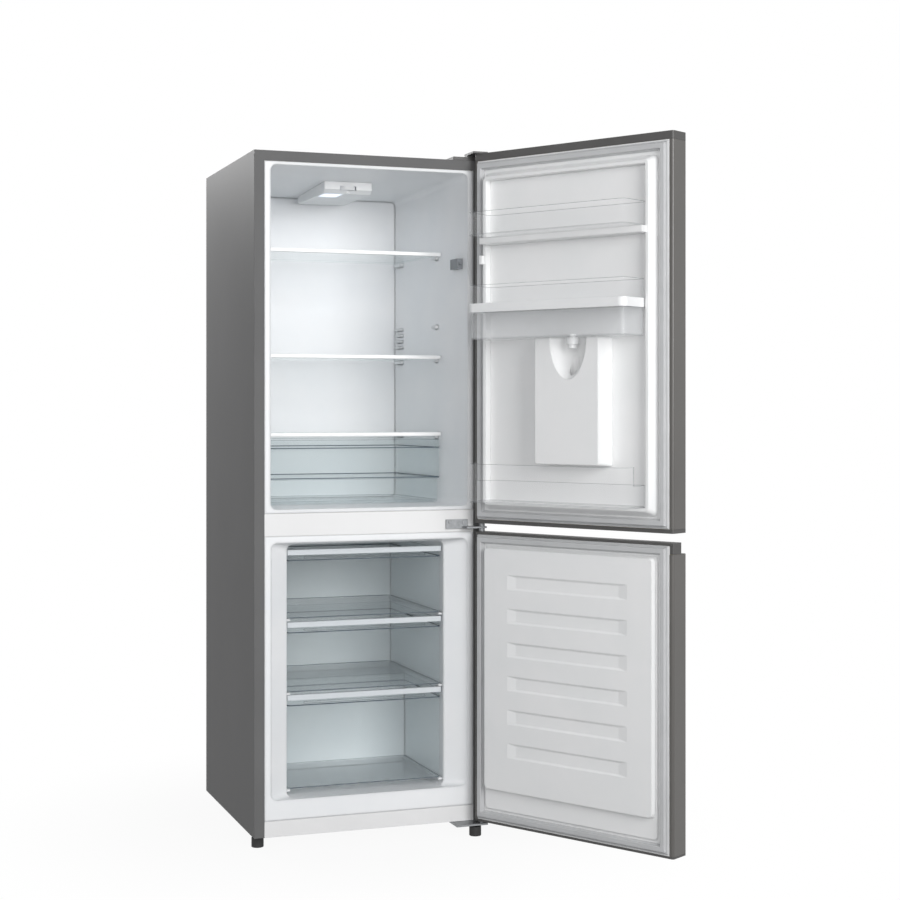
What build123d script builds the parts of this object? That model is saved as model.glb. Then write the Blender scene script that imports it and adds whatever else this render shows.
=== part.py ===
from build123d import *
from math import cos, radians, sin, tan
import os

os.makedirs("parts", exist_ok=True)

# A free-standing refrigerator with the freezer below, both doors standing open.
# Millimetres. +Z is up, -Y is the front and +X is the hinge side. The origin is the
# middle of the cabinet's underside, and the floor is floor_gap below it.

# ---- Cabinet ----
cabinet_width = 550
cabinet_depth = 520
cabinet_height = 1550
floor_gap = 30
sheet = 0.8  # painted steel
liner_wall = 2.0  # thermoformed plastic
steel_edge = 23.5  # steel that shows round the front
white_border = 14.5  # liner that shows between the steel edge and an opening
seat_gap = 0.3  # between a loose piece and what carries it
seam_gap = 0.3  # between panels that meet edge to edge
running_clearance = 0.05  # radial, between a pin and its bore

front = -cabinet_depth / 2
rear = cabinet_depth / 2
side = cabinet_width / 2
panel_side = side - sheet - seam_gap
frame_side = side - steel_edge - seam_gap
frame_top = cabinet_height - steel_edge - seam_gap
mouth_side = side - steel_edge - white_border

# ---- Compressor bay ----
bay_depth = 155
bay_height = 230
bay_chamfer = 60
base_sheet = 1.2
bay_front = rear - bay_depth

# ---- Freezer compartment ----
bottom_rail_height = 36
mullion_bottom = 679
mullion_height = 50.5
freezer_floor = bottom_rail_height + 42
freezer_ceiling = mullion_bottom - 23
freezer_side = mouth_side - 47
freezer_depth = cabinet_depth - 80
freezer_mouth_depth = 38
freezer_mouth_floor = freezer_floor + 4
freezer_mouth_ceiling = freezer_ceiling + 7
freezer_step_height = bay_height + 70  # shelf over the compressor
freezer_step_setback = cabinet_depth - bay_depth - 40
drawer_setback = 45
drawer_back_gap = 10
drawer_wall = 2.5
drawer_side_gap = 3.5
middle_drawer_floor = freezer_step_height + 16
drawer_floors = (
    middle_drawer_floor + 0.497 * (freezer_ceiling - middle_drawer_floor),
    middle_drawer_floor,
    freezer_floor + 17,
)
drawer_tops = (freezer_ceiling - 13, drawer_floors[0] - 8, drawer_floors[1] - 6)
upper_drawer_depth = freezer_depth - drawer_setback - drawer_back_gap
drawer_depths = (
    upper_drawer_depth,
    upper_drawer_depth,
    freezer_step_setback - drawer_setback - drawer_back_gap,
)
drawer_lip_height = 12
drawer_lip_depth = 16
runner_height = 4.5
runner_reach = 10

# ---- Fridge compartment ----
mullion_top = mullion_bottom + mullion_height
fridge_floor = mullion_top + 9.5
fridge_ceiling = cabinet_height - 31
fridge_depth = cabinet_depth - 70
fridge_height = fridge_ceiling - fridge_floor
wall_taper = 32  # how far each side wall leans in over the depth
ceiling_taper = 18
fridge_corner = 14
liner_gap = liner_wall + seat_gap
shelf_heights = (fridge_floor + 0.774 * fridge_height, fridge_floor + 0.454 * fridge_height)
crisper_cover_height = fridge_floor + 168
crisper_step_height = fridge_floor + 60
crisper_wall = 2.5
glass_thickness = 4
shelf_setback = 150  # from the cabinet's front to the shelf's trim
shelf_side_gap = 3
shelf_depth = fridge_depth - shelf_setback - 12
trim_height = 9
trim_depth = 12
lug_height = 8
lug_reach = 9
spare_lug_height = 4
spare_lug_pitch = 15
spare_lugs = 4

# ---- Doors: u runs from the hinge axis to the handle side, v outwards ----
hinge_inset = 12  # hinge axis in from the cabinet's side
hinge_reach = 26  # hinge axis ahead of the cabinet's front
door_open_angle = 120
door_edge_inset = 1
door_gasket_space = 12
door_thickness = 52
door_return = 10
door_gap = 20  # between the two doors
fridge_door_bottom = mullion_top - 29.5
fridge_door_top = cabinet_height + 12
freezer_door_bottom = 5
freezer_door_top = fridge_door_bottom - door_gap
fridge_door_height = fridge_door_top - fridge_door_bottom
fridge_top_cap = 18
fridge_bottom_cap = 9
freezer_top_cap = 25
freezer_bottom_cap = 5
grip_setback = 18  # how far the freezer door's top stands behind its face
grip_depth = 22
door_corner = 5
gasket_width = 20
pin_radius = 4
pin_reach = 12
bore_depth = 13
bracket_sheet = 4

hinge_x = side - hinge_inset
hinge_y = front - hinge_reach
door_hinge_edge = -hinge_inset + door_edge_inset
door_handle_edge = door_hinge_edge + cabinet_width - 2 * door_edge_inset
door_inside = -(hinge_reach - door_gasket_space)
door_outside = door_inside + door_thickness
gasket_face = -hinge_reach + seat_gap

# ---- Door fittings ----
ridge_height = 24  # moulded ridge round the fridge door's inside
ridge_slope = 12
ridge_top = 8
basin_rise = 6
bin_reach = 112
bin_wall = 2.2
bin_corner = 16
upper_bin_floor = fridge_door_bottom + 0.766 * fridge_door_height
upper_bin_z = (upper_bin_floor, upper_bin_floor + 53)
lower_bin_height = 88
lower_bin_back = 48
tank_floor = fridge_door_bottom + 0.492 * fridge_door_height
tank_z = (tank_floor, tank_floor + 65)
tank_wall = 2.5
tank_lid_rim = 4
valve_u = 299
valve_v = -52
valve_radius = 14
flap_width = 70
flap_depth = 42
flap_sheet = 2.4
bulge_u = (valve_u - 95, valve_u + 85)
bulge_bottom = fridge_door_bottom + 0.1625 * fridge_door_height
bulge_reach = 70
bulge_draft = 4
recess_u = (bulge_u[0] + 10, bulge_u[1] - 10)
# The recess's floor, its ceiling at the back and its ceiling at the front.
recess_z = (bulge_bottom + 22, tank_floor - 114, tank_floor - 72)
recess_back = 10 - bulge_reach
recess_wall = 2.5
scoop_radius = 50
scoop_height = 93
lever_pivot_z = recess_z[1] - 8
lever_pivot_v = recess_back + 4.5
lever_length = 0.554 * (recess_z[1] - recess_z[0])
lever_width = 46
drip_tray_height = 9


def block(x, y, z, mode=Mode.ADD):
    """A box between two corners, each axis given as (low, high)."""
    middle = (sum(x) / 2, sum(y) / 2, sum(z) / 2)
    with Locations(middle):
        Box(x[1] - x[0], y[1] - y[0], z[1] - z[0], mode=mode)


def grown(span, by):
    """A (low, high) span with both ends moved out by the same amount."""
    return (span[0] - by, span[1] + by)


def rod(x, y, z, radius, mode=Mode.ADD):
    """An upright round rod between two heights."""
    with Locations((x, y, sum(z) / 2)):
        Cylinder(radius, z[1] - z[0], mode=mode)


def upright(y):
    """The plane across the cabinet at depth y, looking out of the front."""
    return Plane.XZ.offset(-y)


def panel(plane, x, z, radius=0):
    """A rectangle on a plane, with round corners where a radius is given."""
    with BuildSketch(plane) as outline:
        with Locations((sum(x) / 2, sum(z) / 2)):
            if radius:
                RectangleRounded(x[1] - x[0], z[1] - z[0], radius)
            else:
                Rectangle(x[1] - x[0], z[1] - z[0])
    return outline.sketch


def taper(start, end, mode=Mode.ADD):
    """A straight-sided solid between two outlines."""
    loft(sections=[start, end], ruled=True, mode=mode)


def save(piece, name):
    piece.part.label = name
    export_step(piece.part, f"parts/{name}.step")


door_plane = Plane(
    origin=(hinge_x, hinge_y, 0),
    x_dir=(-cos(radians(door_open_angle)), -sin(radians(door_open_angle)), 0),
    z_dir=(0, 0, 1),
)


def door_upright(v):
    """The plane across a door at depth v, looking towards the compartment."""
    return Plane(
        origin=door_plane.from_local_coords((0, v, 0)),
        x_dir=door_plane.x_dir,
        z_dir=-door_plane.y_dir,
    )


def wall_x(setback):
    """Half the fridge compartment's width at a distance behind the front."""
    return mouth_side - wall_taper * setback / fridge_depth


def ceiling_z(setback):
    return fridge_ceiling - ceiling_taper * setback / fridge_depth


def fridge_outline(setback, grow, radius=0):
    """The fridge compartment's section at a setback, its walls moved out by grow."""
    half = wall_x(setback) + grow
    heights = (fridge_floor - grow, ceiling_z(setback) + grow)
    return panel(upright(front + setback), (-half, half), heights, radius)


def freezer_tub(grow, radius, mode=Mode.ADD):
    """The freezer compartment with its step at the back, walls moved out by grow."""
    sides = (-freezer_side - grow, freezer_side + grow)
    top = freezer_ceiling + grow
    upper = panel(
        upright(front + freezer_depth + grow), sides, (freezer_step_height - grow, top), radius
    )
    extrude(to_extrude=upper, amount=freezer_depth + grow - freezer_mouth_depth, mode=mode)
    whole = panel(
        upright(front + freezer_step_setback + grow), sides, (freezer_floor - grow, top), radius
    )
    extrude(to_extrude=whole, amount=freezer_step_setback + grow - freezer_mouth_depth, mode=mode)
    mouth = panel(
        upright(front),
        (-mouth_side - grow, mouth_side + grow),
        (freezer_mouth_floor - grow, freezer_mouth_ceiling + grow),
        radius,
    )
    inner = panel(upright(front + freezer_mouth_depth), sides, (freezer_floor - grow, top), radius)
    taper(mouth, inner, mode)


# ---- Screws that hold the three hinge brackets ----
screw_radius = 2.5
screw_length = 12
screw_head_radius = 4.5
screw_head_height = 2.2
screw_clearance = 0.15
plate_screw_inset = 10
middle_plate_x = (mouth_side - 55, mouth_side - 1)
middle_plate_z = (freezer_door_top + 6, freezer_door_top + 28)
middle_arm_z = (freezer_door_top + 8, freezer_door_top + 8 + bracket_sheet)
top_plate_x = (side - 70, side - 4)
top_plate_y = (front + 5, front + 55)
top_arm_bottom = fridge_door_top + seat_gap
bottom_plate_x = (side - 79, side - 2)
bottom_plate_y = (hinge_y - 14, front + 70)

middle_screws = [
    Location((middle_plate_x[0] + plate_screw_inset, front, middle_plate_z[1] - 6), (90, 0, 0)),
    Location((middle_plate_x[1] - plate_screw_inset, front, middle_plate_z[1] - 8), (90, 0, 0)),
]
top_screws = [
    Location((x, top_plate_y[1] - 14, cabinet_height))
    for x in (top_plate_x[0] + plate_screw_inset, top_plate_x[1] - plate_screw_inset)
]
bottom_screws = [
    Location((x, bottom_plate_y[1] - 16, 0), (180, 0, 0))
    for x in (bottom_plate_x[0] + plate_screw_inset, bottom_plate_x[1] - 2 * plate_screw_inset)
]
hinge_screw_places = middle_screws + top_screws + bottom_screws
screw_seat = seat_gap + bracket_sheet  # from the cabinet's surface to a screw's head


def screw_holes():
    """Clearance holes for every hinge screw that reaches the piece."""
    with Locations(hinge_screw_places):
        Cylinder(screw_radius + screw_clearance, 2 * screw_length + 4, mode=Mode.SUBTRACT)


with BuildPart() as hinge_screws:
    with Locations(hinge_screw_places):
        with Locations((0, 0, (screw_seat - screw_length) / 2)):
            Cylinder(screw_radius, screw_length + screw_seat)
        with Locations((0, 0, screw_seat + screw_head_height / 2)):
            Cylinder(screw_head_radius, screw_head_height)
save(hinge_screws, "hinge_screws")

# ---- Hinge brackets: bent steel plates with their pins riveted in ----
pin_collar_radius = 7
arm_sheet = 3
arm_end_y = hinge_y - 9
arm_x = (hinge_x - 20, hinge_x + 9)
fridge_pin_top = fridge_door_bottom + pin_reach
freezer_pin_bottom = freezer_door_top - pin_reach

with BuildPart() as top_hinge_bracket:
    plate_z = (cabinet_height + seat_gap, cabinet_height + screw_seat)
    block(top_plate_x, top_plate_y, plate_z)
    riser_y = (top_plate_y[0], top_plate_y[0] + bracket_sheet)
    block(arm_x, riser_y, (plate_z[0], top_arm_bottom + arm_sheet))
    block(arm_x, (arm_end_y, riser_y[1]), (top_arm_bottom, top_arm_bottom + arm_sheet))
    rod(hinge_x, hinge_y, (fridge_door_top - pin_reach, top_arm_bottom), pin_radius)
    screw_holes()
save(top_hinge_bracket, "top_hinge_bracket")

with BuildPart() as middle_hinge_bracket:
    plate_y = (front - screw_seat, front - seat_gap)
    block(middle_plate_x, plate_y, middle_plate_z)
    block((arm_x[0] - 20, arm_x[1]), (arm_end_y, plate_y[1]), middle_arm_z)
    rod(hinge_x, hinge_y, (freezer_pin_bottom, fridge_pin_top), pin_radius)
    rod(hinge_x, hinge_y, (middle_arm_z[1], fridge_door_bottom - seat_gap), pin_collar_radius)
    rod(hinge_x, hinge_y, (freezer_door_top + seat_gap, middle_arm_z[0]), pin_collar_radius)
    screw_holes()
save(middle_hinge_bracket, "middle_hinge_bracket")

foot_radius = 14
foot_height = 22
stud_radius = 4
right_foot = (hinge_x - 16, hinge_y + 2)
left_foot = (-side + 19, front + 47)

with BuildPart() as bottom_hinge_bracket:
    plate_z = (-screw_seat, -seat_gap)
    block(bottom_plate_x, bottom_plate_y, plate_z)
    rod(hinge_x, hinge_y, (plate_z[0], freezer_door_bottom + pin_reach), pin_radius)
    rod(hinge_x, hinge_y, (plate_z[1], freezer_door_bottom - seat_gap), pin_collar_radius)
    rod(*right_foot, plate_z, stud_radius + running_clearance, Mode.SUBTRACT)
    screw_holes()
save(bottom_hinge_bracket, "bottom_hinge_bracket")

# ---- Hinge cover: a moulded cap over the top bracket, with a hump over its arm ----
cover_wall = 1.2
cover_x = (top_plate_x[0] - 3, side - 1)
cover_top = cabinet_height + screw_seat + screw_head_height + seat_gap + cover_wall
cover_z = (cabinet_height + seat_gap, cover_top)
hump_x = (arm_x[0] - 6, cover_x[1])
hump_top = top_arm_bottom + arm_sheet + seat_gap + cover_wall
hump_y = (arm_end_y - 3, front + 22)

with BuildPart() as hinge_cover:
    on_cabinet = (front + 1, top_plate_y[1] + 3)
    block(cover_x, on_cabinet, cover_z)
    block(hump_x, (on_cabinet[0], hump_y[1]), (cover_z[0], hump_top))
    block(hump_x, (hump_y[0], on_cabinet[0]), (top_arm_bottom, hump_top))
    fillet(hinge_cover.edges().filter_by(Axis.Z), 2)
    hollow_y = grown(on_cabinet, -cover_wall)
    hollow_top = hump_top - cover_wall
    block(grown(cover_x, -cover_wall), hollow_y, (cabinet_height, cover_z[1] - cover_wall), Mode.SUBTRACT)
    arm_room = grown(arm_x, seat_gap)
    riser_room = (hollow_y[0], hump_y[1] - cover_wall)
    block(arm_room, riser_room, (cabinet_height, hollow_top), Mode.SUBTRACT)
    arm_end_room = (arm_end_y - seat_gap, riser_room[1])
    block(arm_room, arm_end_room, (top_arm_bottom - 1, hollow_top), Mode.SUBTRACT)
save(hinge_cover, "hinge_cover")

# ---- Outer shell: one painted sheet over the sides and top, its front edge folded in ----
with BuildPart() as outer_shell:
    with BuildSketch(upright(rear)):
        with Locations((0, cabinet_height / 2)):
            Rectangle(cabinet_width, cabinet_height)
        with Locations((0, (cabinet_height - sheet) / 2)):
            Rectangle(cabinet_width - 2 * sheet, cabinet_height - sheet, mode=Mode.SUBTRACT)
    extrude(amount=cabinet_depth)
    with BuildSketch(upright(front + sheet)):
        with Locations((0, cabinet_height / 2)):
            Rectangle(cabinet_width, cabinet_height)
        with Locations((0, (cabinet_height - steel_edge) / 2)):
            Rectangle(cabinet_width - 2 * steel_edge, cabinet_height - steel_edge, mode=Mode.SUBTRACT)
    extrude(amount=sheet)
    screw_holes()
save(outer_shell, "outer_shell")

# ---- Front rails: the strip between the compartments and the one at the bottom ----
rail_sheet = 1.2
with BuildPart() as front_rails:
    block((-frame_side, frame_side), (front, front + rail_sheet), (mullion_bottom, mullion_top))
    block((-frame_side, frame_side), (front, front + rail_sheet), (0, bottom_rail_height))
    screw_holes()
save(front_rails, "front_rails")

# ---- Base plate with the rear rollers' axles ----
roller_radius = 14.5
roller_width = 14
roller_x = side - 43
roller_y = rear - 28
roller_z = roller_radius - floor_gap
roller_end_gap = 0.4
cheek_sheet = 2
axle_radius = 3
weld_nut_radius = 8
weld_nut_height = 9

with BuildPart() as base_plate:
    block((-panel_side, panel_side), (front + rail_sheet + seam_gap, rear), (0, base_sheet))
    rod(*left_foot, (base_sheet, base_sheet + weld_nut_height), weld_nut_radius)
    rod(*left_foot, (-1, weld_nut_height + 2), stud_radius + running_clearance, Mode.SUBTRACT)
    cheek_inside = roller_width / 2 + roller_end_gap
    for x in (-roller_x, roller_x):
        for low in (x - cheek_inside - cheek_sheet, x + cheek_inside):
            block((low, low + cheek_sheet), (roller_y - 9, roller_y + 9), (roller_z - 7, 0))
        with Locations(Location((x, roller_y, roller_z), (0, 90, 0))):
            Cylinder(axle_radius, 2 * (cheek_inside + cheek_sheet) + 2)
    screw_holes()
save(base_plate, "base_plate")

for name, x in (("rear_roller_left", -roller_x), ("rear_roller_right", roller_x)):
    with BuildPart(Plane(origin=(x, roller_y, roller_z), z_dir=(1, 0, 0))) as roller:
        Cylinder(roller_radius, roller_width)
        fillet(roller.edges().filter_by(GeomType.CIRCLE), 1.5)
        Cylinder(axle_radius + running_clearance, roller_width, mode=Mode.SUBTRACT)
    save(roller, name)

# ---- Front feet: moulded discs on threaded studs ----
stud_top = {"front_foot_left": base_sheet + weld_nut_height + 3, "front_foot_right": 2}
for name, place in (("front_foot_left", left_foot), ("front_foot_right", right_foot)):
    with BuildPart() as foot:
        rod(*place, (-floor_gap, foot_height - floor_gap), foot_radius)
        fillet(foot.edges().filter_by(GeomType.CIRCLE), 1.5)
        rod(*place, (foot_height - floor_gap, stud_top[name]), stud_radius)
    save(foot, name)

# ---- Back panel: one sheet bent round the compressor bay ----
bend_shift = sheet * tan(radians(22.5))
bay_profile = [
    (bay_front, base_sheet + seam_gap),
    (bay_front, bay_height - bay_chamfer),
    (bay_front + bay_chamfer, bay_height),
    (rear, bay_height),
]
foam_profile = [
    (rear - sheet, bay_height + sheet),
    (bay_front + bay_chamfer - bend_shift, bay_height + sheet),
    (bay_front - sheet, bay_height - bay_chamfer + bend_shift),
    (bay_front - sheet, base_sheet + seam_gap),
]
panel_top = cabinet_height - sheet - seam_gap
pipe_radius = 3
pipe_hole_radius = pipe_radius + seat_gap
riser_pipe_x = (-60, -90)
riser_pipe_y = rear - 40
riser_pipe_top = freezer_ceiling + 14

with BuildPart() as back_panel:
    with BuildSketch(Plane.YZ):
        with BuildLine():
            Polyline(*bay_profile, (rear, panel_top), (rear - sheet, panel_top), *foam_profile, close=True)
        make_face()
    extrude(amount=panel_side, both=True)
    for x in riser_pipe_x:
        rod(x, riser_pipe_y, grown((bay_height, bay_height), 3), pipe_hole_radius, Mode.SUBTRACT)
save(back_panel, "back_panel")

# ---- Foam that fills the cabinet between the shell and the liners ----
foam_front = front + liner_gap
evaporator_sheet = 1.5
fridge_evaporator = (
    (87 - mouth_side, mouth_side - 87),
    (shelf_heights[1] - 33, fridge_ceiling - 79),
)
freezer_evaporator = (
    (30 - freezer_side, freezer_side - 30),
    (freezer_step_height + 30, freezer_ceiling - 26),
)
fridge_evaporator_y = front + fridge_depth + liner_gap
freezer_evaporator_y = front + freezer_depth + liner_gap
with BuildPart() as cabinet_foam:
    with BuildSketch(Plane.YZ):
        with BuildLine():
            Polyline(
                (foam_front, base_sheet),
                (foam_front, cabinet_height - sheet),
                (rear - sheet, cabinet_height - sheet),
                *foam_profile,
                (bay_front - sheet, base_sheet),
                close=True,
            )
        make_face()
    extrude(amount=side - sheet, both=True)
    rail_back = (front + rail_sheet, foam_front)
    block((-frame_side, frame_side), rail_back, (mullion_bottom, mullion_top))
    block((-frame_side, frame_side), rail_back, (base_sheet, bottom_rail_height))
    taper(
        fridge_outline(-liner_gap, liner_gap),
        fridge_outline(fridge_depth + liner_gap, liner_gap),
        Mode.SUBTRACT,
    )
    freezer_tub(liner_gap, 0, Mode.SUBTRACT)
    for (x, z), y in (
        (fridge_evaporator, fridge_evaporator_y),
        (freezer_evaporator, freezer_evaporator_y),
    ):
        block(
            (x[0] - seat_gap, x[1] + seat_gap),
            (y - seat_gap, y + evaporator_sheet + seat_gap),
            (z[0] - seat_gap, z[1] + seat_gap),
            Mode.SUBTRACT,
        )
    nut_top = base_sheet + weld_nut_height + 5
    rod(*left_foot, (0, nut_top), weld_nut_radius + seat_gap, Mode.SUBTRACT)
    for x in riser_pipe_x:
        rod(x, riser_pipe_y, (bay_height, riser_pipe_top + 1), pipe_hole_radius, Mode.SUBTRACT)
    screw_holes()
save(cabinet_foam, "cabinet_foam")

with BuildPart() as evaporator_plates:
    sheet_y = (fridge_evaporator_y, fridge_evaporator_y + evaporator_sheet)
    block(fridge_evaporator[0], sheet_y, fridge_evaporator[1])
    sheet_y = (freezer_evaporator_y, freezer_evaporator_y + evaporator_sheet)
    block(freezer_evaporator[0], sheet_y, freezer_evaporator[1])
save(evaporator_plates, "evaporator_plates")


# ---- Fridge liner: a formed tub with lugs that carry the shelves ----
def wall_lugs(top, height, setbacks):
    """A lug on each side wall of the fridge compartment, between two setbacks."""
    start, end = setbacks
    with BuildSketch(Plane.XY.offset(top - height)) as lug:
        with BuildLine():
            Polyline(
                (wall_x(start) + liner_wall / 2, front + start),
                (wall_x(end) + liner_wall / 2, front + end),
                (wall_x(end) - lug_reach, front + end),
                (wall_x(start) - lug_reach, front + start),
                close=True,
            )
        make_face()
        mirror(about=Plane.YZ)
    extrude(to_extrude=lug.sketch, amount=height)


front_lug = (shelf_setback + trim_depth + 8, shelf_setback + trim_depth + 30)
back_lug = (fridge_depth - 56, fridge_depth - fridge_corner)
glass_seat = glass_thickness + seat_gap
spare_lug_top = shelf_heights[1] + 32 + (spare_lugs - 1) * spare_lug_pitch

with BuildPart() as fridge_liner:
    taper(
        fridge_outline(0, liner_wall, fridge_corner + liner_wall),
        fridge_outline(fridge_depth + liner_wall, liner_wall, fridge_corner + liner_wall),
    )
    flange_z = (mullion_top + seam_gap, frame_top)
    block((-frame_side, frame_side), (front, front + liner_wall), flange_z)
    taper(
        fridge_outline(0, 0, fridge_corner),
        fridge_outline(fridge_depth, 0, fridge_corner),
        Mode.SUBTRACT,
    )
    for height in (*shelf_heights, crisper_cover_height):
        wall_lugs(height - glass_seat, lug_height, front_lug)
        wall_lugs(height - glass_seat, lug_height, back_lug)
    wall_lugs(spare_lug_top, lug_height, front_lug)
    for lug in range(spare_lugs):
        wall_lugs(spare_lug_top - lug * spare_lug_pitch, spare_lug_height, back_lug)
save(fridge_liner, "fridge_liner")

with BuildPart() as freezer_liner:
    freezer_tub(liner_wall, fridge_corner + liner_wall)
    flange_z = (bottom_rail_height + seam_gap, mullion_bottom - seam_gap)
    block((-frame_side, frame_side), (front, front + liner_wall), flange_z)
    freezer_tub(0, fridge_corner, Mode.SUBTRACT)
    for floor_z, depth in zip(drawer_floors, drawer_depths):
        runner_y = (front + drawer_setback, front + drawer_setback + depth)
        runner_z = (floor_z - seat_gap - runner_height, floor_z - seat_gap)
        for outside in (-freezer_side - liner_wall / 2, freezer_side + liner_wall / 2):
            inside = outside + (runner_reach + liner_wall / 2) * (1 if outside < 0 else -1)
            block(sorted((outside, inside)), runner_y, runner_z)
save(freezer_liner, "freezer_liner")

# ---- Lamp and thermostat housing under the fridge's ceiling ----
housing_half = 59
housing_setbacks = (185, fridge_depth - 20)
housing_bottom = fridge_ceiling - 35
housing_wall = 2
lens_x = (-52, -8)
lens_y = (front + housing_setbacks[0] + 20, front + housing_setbacks[0] + 83)
wheel_radius = 20
wheel_thickness = 9
wheel_y = front + housing_setbacks[0] + wheel_radius - 9.5
wheel_z = housing_bottom + 8
wheel_pin_radius = 3
wheel_grooves = 40
bulb_x = sum(lens_x) / 2
bulb_z = housing_bottom + 13
bulb_socket_y = lens_y[1] - 6


def housing_profile(inset):
    near, far = housing_setbacks
    roof = seat_gap if inset == 0 else -inset
    return [
        (front + near + inset, ceiling_z(near) - roof),
        (front + near + inset, housing_bottom + 9),
        (front + near + 12, housing_bottom + inset),
        (front + far - inset, housing_bottom + inset),
        (front + far - inset, ceiling_z(far) - roof),
    ]


with BuildPart() as lamp_housing:
    with BuildSketch(Plane.YZ):
        with BuildLine():
            Polyline(*housing_profile(0), close=True)
        make_face()
    extrude(amount=housing_half, both=True)
    with BuildSketch(Plane.YZ):
        with BuildLine():
            Polyline(*housing_profile(housing_wall), close=True)
        make_face()
    extrude(amount=housing_half - housing_wall, both=True, mode=Mode.SUBTRACT)
    slot_z = (wheel_z - seat_gap, wheel_z + wheel_thickness + seat_gap)
    near_face = front + housing_setbacks[0]
    block((-wheel_radius, wheel_radius), (near_face - 1, wheel_y), slot_z, Mode.SUBTRACT)
    rod(0, wheel_y, (housing_bottom + 1, wheel_z + wheel_thickness + 3), wheel_pin_radius)
    rod(0, wheel_y, (housing_bottom + 1, wheel_z - seat_gap), wheel_pin_radius + 3)
    block(lens_x, lens_y, (housing_bottom - 1, housing_bottom + 5), Mode.SUBTRACT)
    socket_y = (bulb_socket_y + seat_gap, bulb_socket_y + 16)
    block((bulb_x - 9, bulb_x + 9), (lens_y[1], socket_y[1]), (housing_bottom + 1, bulb_z + 8))
save(lamp_housing, "lamp_housing")

with BuildPart() as lamp_lens:
    lens_fit = (lens_x[0] + seat_gap, lens_x[1] - seat_gap)
    lens_span = (lens_y[0] + seat_gap, lens_y[1] - seat_gap)
    block(lens_fit, lens_span, (housing_bottom, housing_bottom + housing_wall))
save(lamp_lens, "lamp_lens")

with BuildPart() as lamp_bulb:
    with Locations((bulb_x, bulb_socket_y - 26, bulb_z)):
        Sphere(8)
    with Locations(Location((bulb_x, lens_y[1] - seat_gap - 16, bulb_z), (90, 0, 0))):
        Cylinder(6, 32)
save(lamp_bulb, "lamp_bulb")

with BuildPart() as thermostat_knob:
    rod(0, wheel_y, (wheel_z, wheel_z + wheel_thickness), wheel_radius - seat_gap)
    chamfer(thermostat_knob.edges().filter_by(GeomType.CIRCLE), 0.8)
    with Locations((0, wheel_y, wheel_z + wheel_thickness / 2)):
        with PolarLocations(wheel_radius, wheel_grooves):
            Cylinder(1, wheel_thickness + 1, mode=Mode.SUBTRACT)
    bore_z = (wheel_z - 1, wheel_z + wheel_thickness + 1)
    rod(0, wheel_y, bore_z, wheel_pin_radius + running_clearance, Mode.SUBTRACT)
save(thermostat_knob, "thermostat_knob")

# ---- Door light switch on the hinge-side wall ----
switch_setbacks = (28, 75)
switch_middle = fridge_floor + 0.732 * fridge_height
switch_z = (switch_middle - 12, switch_middle + 12)
plunger_radius = 3.5
plunger_reach = 6
plunger_travel = 5
plunger_x = wall_x(switch_setbacks[0]) - 6.5
plunger_z = sum(switch_z) / 2
plunger_tip = switch_setbacks[0] - plunger_reach
plunger_length = 28

with BuildPart() as switch_housing:
    near, far = switch_setbacks
    with BuildSketch(Plane.XY.offset(switch_z[0])):
        with BuildLine():
            Polyline(
                (wall_x(near) - seat_gap, front + near),
                (wall_x(far) - seat_gap, front + far),
                (wall_x(far) - 11, front + far),
                (wall_x(near) - 13, front + near),
                close=True,
            )
        make_face()
    extrude(amount=switch_z[1] - switch_z[0])
    bore_end = front + plunger_tip + plunger_length + plunger_travel + 1
    bore_middle = (front + near + bore_end) / 2
    with Locations(Location((plunger_x, bore_middle, plunger_z), (90, 0, 0))):
        Cylinder(plunger_radius + running_clearance, bore_end - front - near, mode=Mode.SUBTRACT)
save(switch_housing, "switch_housing")

with BuildPart() as switch_plunger:
    plunger_middle = front + plunger_tip + plunger_length / 2
    with Locations(Location((plunger_x, plunger_middle, plunger_z), (90, 0, 0))):
        Cylinder(plunger_radius, plunger_length)
    fillet(switch_plunger.edges().filter_by(GeomType.CIRCLE).sort_by(Axis.Y)[0], 1.5)
save(switch_plunger, "switch_plunger")


# ---- Shelves: tempered glass with a moulded trim on the front edge ----
trim_lip = 3


def tapered_plate(setbacks, gap, z, radius=0, front_radius=0, mode=Mode.ADD):
    """A level plate between the fridge's side walls, a gap clear of each."""
    start, end = setbacks
    with BuildSketch(Plane.XY.offset(z[0])) as outline:
        with BuildLine():
            Polyline(
                (wall_x(start) - gap, front + start),
                (wall_x(end) - gap, front + end),
                (-wall_x(end) + gap, front + end),
                (-wall_x(start) + gap, front + start),
                close=True,
            )
        make_face()
        if radius:
            fillet(outline.vertices().group_by(Axis.Y)[-1], radius)
        if front_radius:
            fillet(outline.vertices().group_by(Axis.Y)[0], front_radius)
    extrude(to_extrude=outline.sketch, amount=z[1] - z[0], mode=mode)


def shelf(name, height):
    """A glass plate, its top at the given height, and the trim clipped over its front."""
    glass_z = (height - glass_thickness, height)
    glass_setbacks = (shelf_setback + trim_lip, shelf_setback + shelf_depth)
    with BuildPart() as glass:
        tapered_plate(glass_setbacks, shelf_side_gap, glass_z, fridge_corner)
    save(glass, f"{name}_glass")
    trim_z = (height + trim_lip - trim_height, height + trim_lip)
    with BuildPart() as trim:
        tapered_plate((shelf_setback, shelf_setback + trim_depth), shelf_side_gap, trim_z)
        fillet(trim.edges().filter_by(Axis.X).group_by(Axis.Y)[0], 1.5)
        slot_setbacks = (glass_setbacks[0] - running_clearance, shelf_setback + trim_depth + 1)
        slot_z = (glass_z[0] - running_clearance, glass_z[1] + running_clearance)
        block(
            (-mouth_side, mouth_side),
            (front + slot_setbacks[0], front + slot_setbacks[1]),
            slot_z,
            Mode.SUBTRACT,
        )
    save(trim, f"{name}_trim")


shelf("upper_shelf", shelf_heights[0])
shelf("lower_shelf", shelf_heights[1])
shelf("crisper_cover", crisper_cover_height)

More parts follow.
